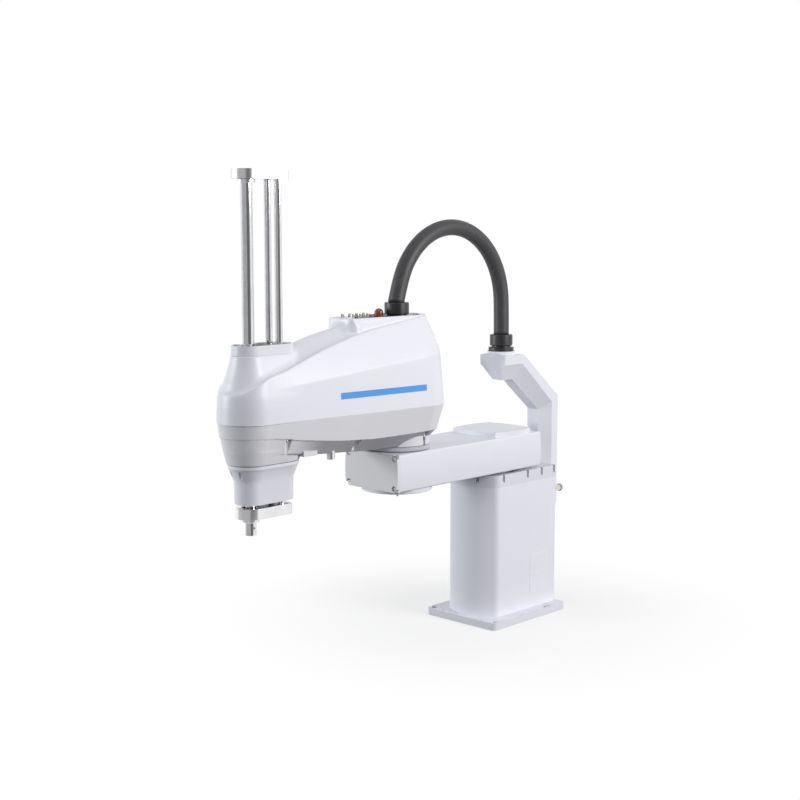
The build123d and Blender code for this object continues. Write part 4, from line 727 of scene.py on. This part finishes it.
world = bpy.data.worlds.new("studio")
bpy.context.scene.world = world
world.use_nodes = True
studio = world.node_tree
studio.nodes.clear()
seen = studio.nodes.new("ShaderNodeLightPath").outputs
straight = wired(studio, "ShaderNodeMath", {0: seen["Is Camera Ray"], 1: seen["Is Transmission Ray"]},
                 operation="MAXIMUM")
shiny = wired(studio, "ShaderNodeMath", {0: straight, 1: seen["Is Glossy Ray"]}, operation="MAXIMUM")
soft = wired(studio, "ShaderNodeBackground", {"Color": (0.93, 0.95, 1.0, 1.0), "Strength": 0.40})
white = wired(studio, "ShaderNodeBackground", {"Color": (1.0, 1.0, 1.0, 1.0), "Strength": 1.0})
both = wired(studio, "ShaderNodeMixShader", {0: shiny, 1: soft, 2: white})
studio.links.new(both, studio.nodes.new("ShaderNodeOutputWorld").inputs[0])

# Floor: pale for the camera and dull for the light that it throws back, fading to a plain white glow
# away from the robot, so that only the shadow near the base is seen.
FLOOR_HALF, FLOOR_Z = 20.0, -0.0005
floor_mesh = bpy.data.meshes.new("floor")
corners = ((-1, -1), (1, -1), (1, 1), (-1, 1))
floor_mesh.from_pydata([(FLOOR_HALF * x, FLOOR_HALF * y, FLOOR_Z) for x, y in corners], [], [(0, 1, 2, 3)])
floor = linked("floor", floor_mesh)
floor_finish = bpy.data.materials.new("floor_paint")
floor_finish.use_nodes = True
ground = floor_finish.node_tree
ground.nodes.clear()
place = ground.nodes.new("ShaderNodeNewGeometry").outputs["Position"]
reach = wired(ground, "ShaderNodeVectorMath", {0: place}, "Value", operation="LENGTH")
fading = {"Value": reach, "From Min": 0.20, "From Max": 0.95, "To Min": 0.70}
fade = wired(ground, "ShaderNodeMapRange", fading, interpolation_type="SMOOTHSTEP")
path = ground.nodes.new("ShaderNodeLightPath").outputs
seen_far = wired(ground, "ShaderNodeMath", {0: fade, 1: path["Is Camera Ray"]}, operation="MULTIPLY")
lit = wired(ground, "ShaderNodeMath", {0: seen_far, 1: path["Is Glossy Ray"]}, operation="MAXIMUM")
dull = wired(ground, "ShaderNodeBsdfDiffuse", {"Color": (0.08, 0.08, 0.082, 1.0)})
pale = wired(ground, "ShaderNodeBsdfDiffuse", {"Color": (0.86, 0.86, 0.87, 1.0)})
matt = wired(ground, "ShaderNodeMixShader", {0: path["Is Camera Ray"], 1: dull, 2: pale})
bright = wired(ground, "ShaderNodeEmission", {"Strength": 1.0})
spread = wired(ground, "ShaderNodeMixShader", {0: lit, 1: matt, 2: bright})
ground.links.new(spread, ground.nodes.new("ShaderNodeOutputMaterial").inputs[0])
floor.data.materials.append(floor_finish)

# Two grey cloths round the camera's side of the studio, which polished metal reflects as its dark
# stripes. Only reflections see them.
CLOTH_R, CLOTH_H, CLOTH_POSTS = 2.1, 2.4, 14
for name, first, last, tone in (("grey_cloth", -33.0, 28.0, 0.46), ("dark_cloth", 28.0, 80.0, 0.17)):
    turns = np.radians(np.linspace(first, last, CLOTH_POSTS))
    rim = [(CLOTH_R * math.cos(a), CLOTH_R * math.sin(a), z) for z in (0.0, CLOTH_H) for a in turns]
    cloth_mesh = bpy.data.meshes.new(name)
    cloth_mesh.from_pydata(rim, [], [(k, k + 1, k + 1 + CLOTH_POSTS, k + CLOTH_POSTS)
                                     for k in range(CLOTH_POSTS - 1)])
    cloth = linked(name, cloth_mesh)
    dye = bpy.data.materials.new(name)
    dye.use_nodes = True
    dye.node_tree.nodes.clear()
    glow = wired(dye.node_tree, "ShaderNodeEmission", {"Color": (tone, tone, 1.02 * tone, 1.0)})
    dye.node_tree.links.new(glow, dye.node_tree.nodes.new("ShaderNodeOutputMaterial").inputs[0])
    cloth.data.materials.append(dye)
    cloth.visible_shadow = False
    cloth.visible_camera = False
    cloth.visible_diffuse = False

bpy.context.scene.view_settings.view_transform = "Standard"
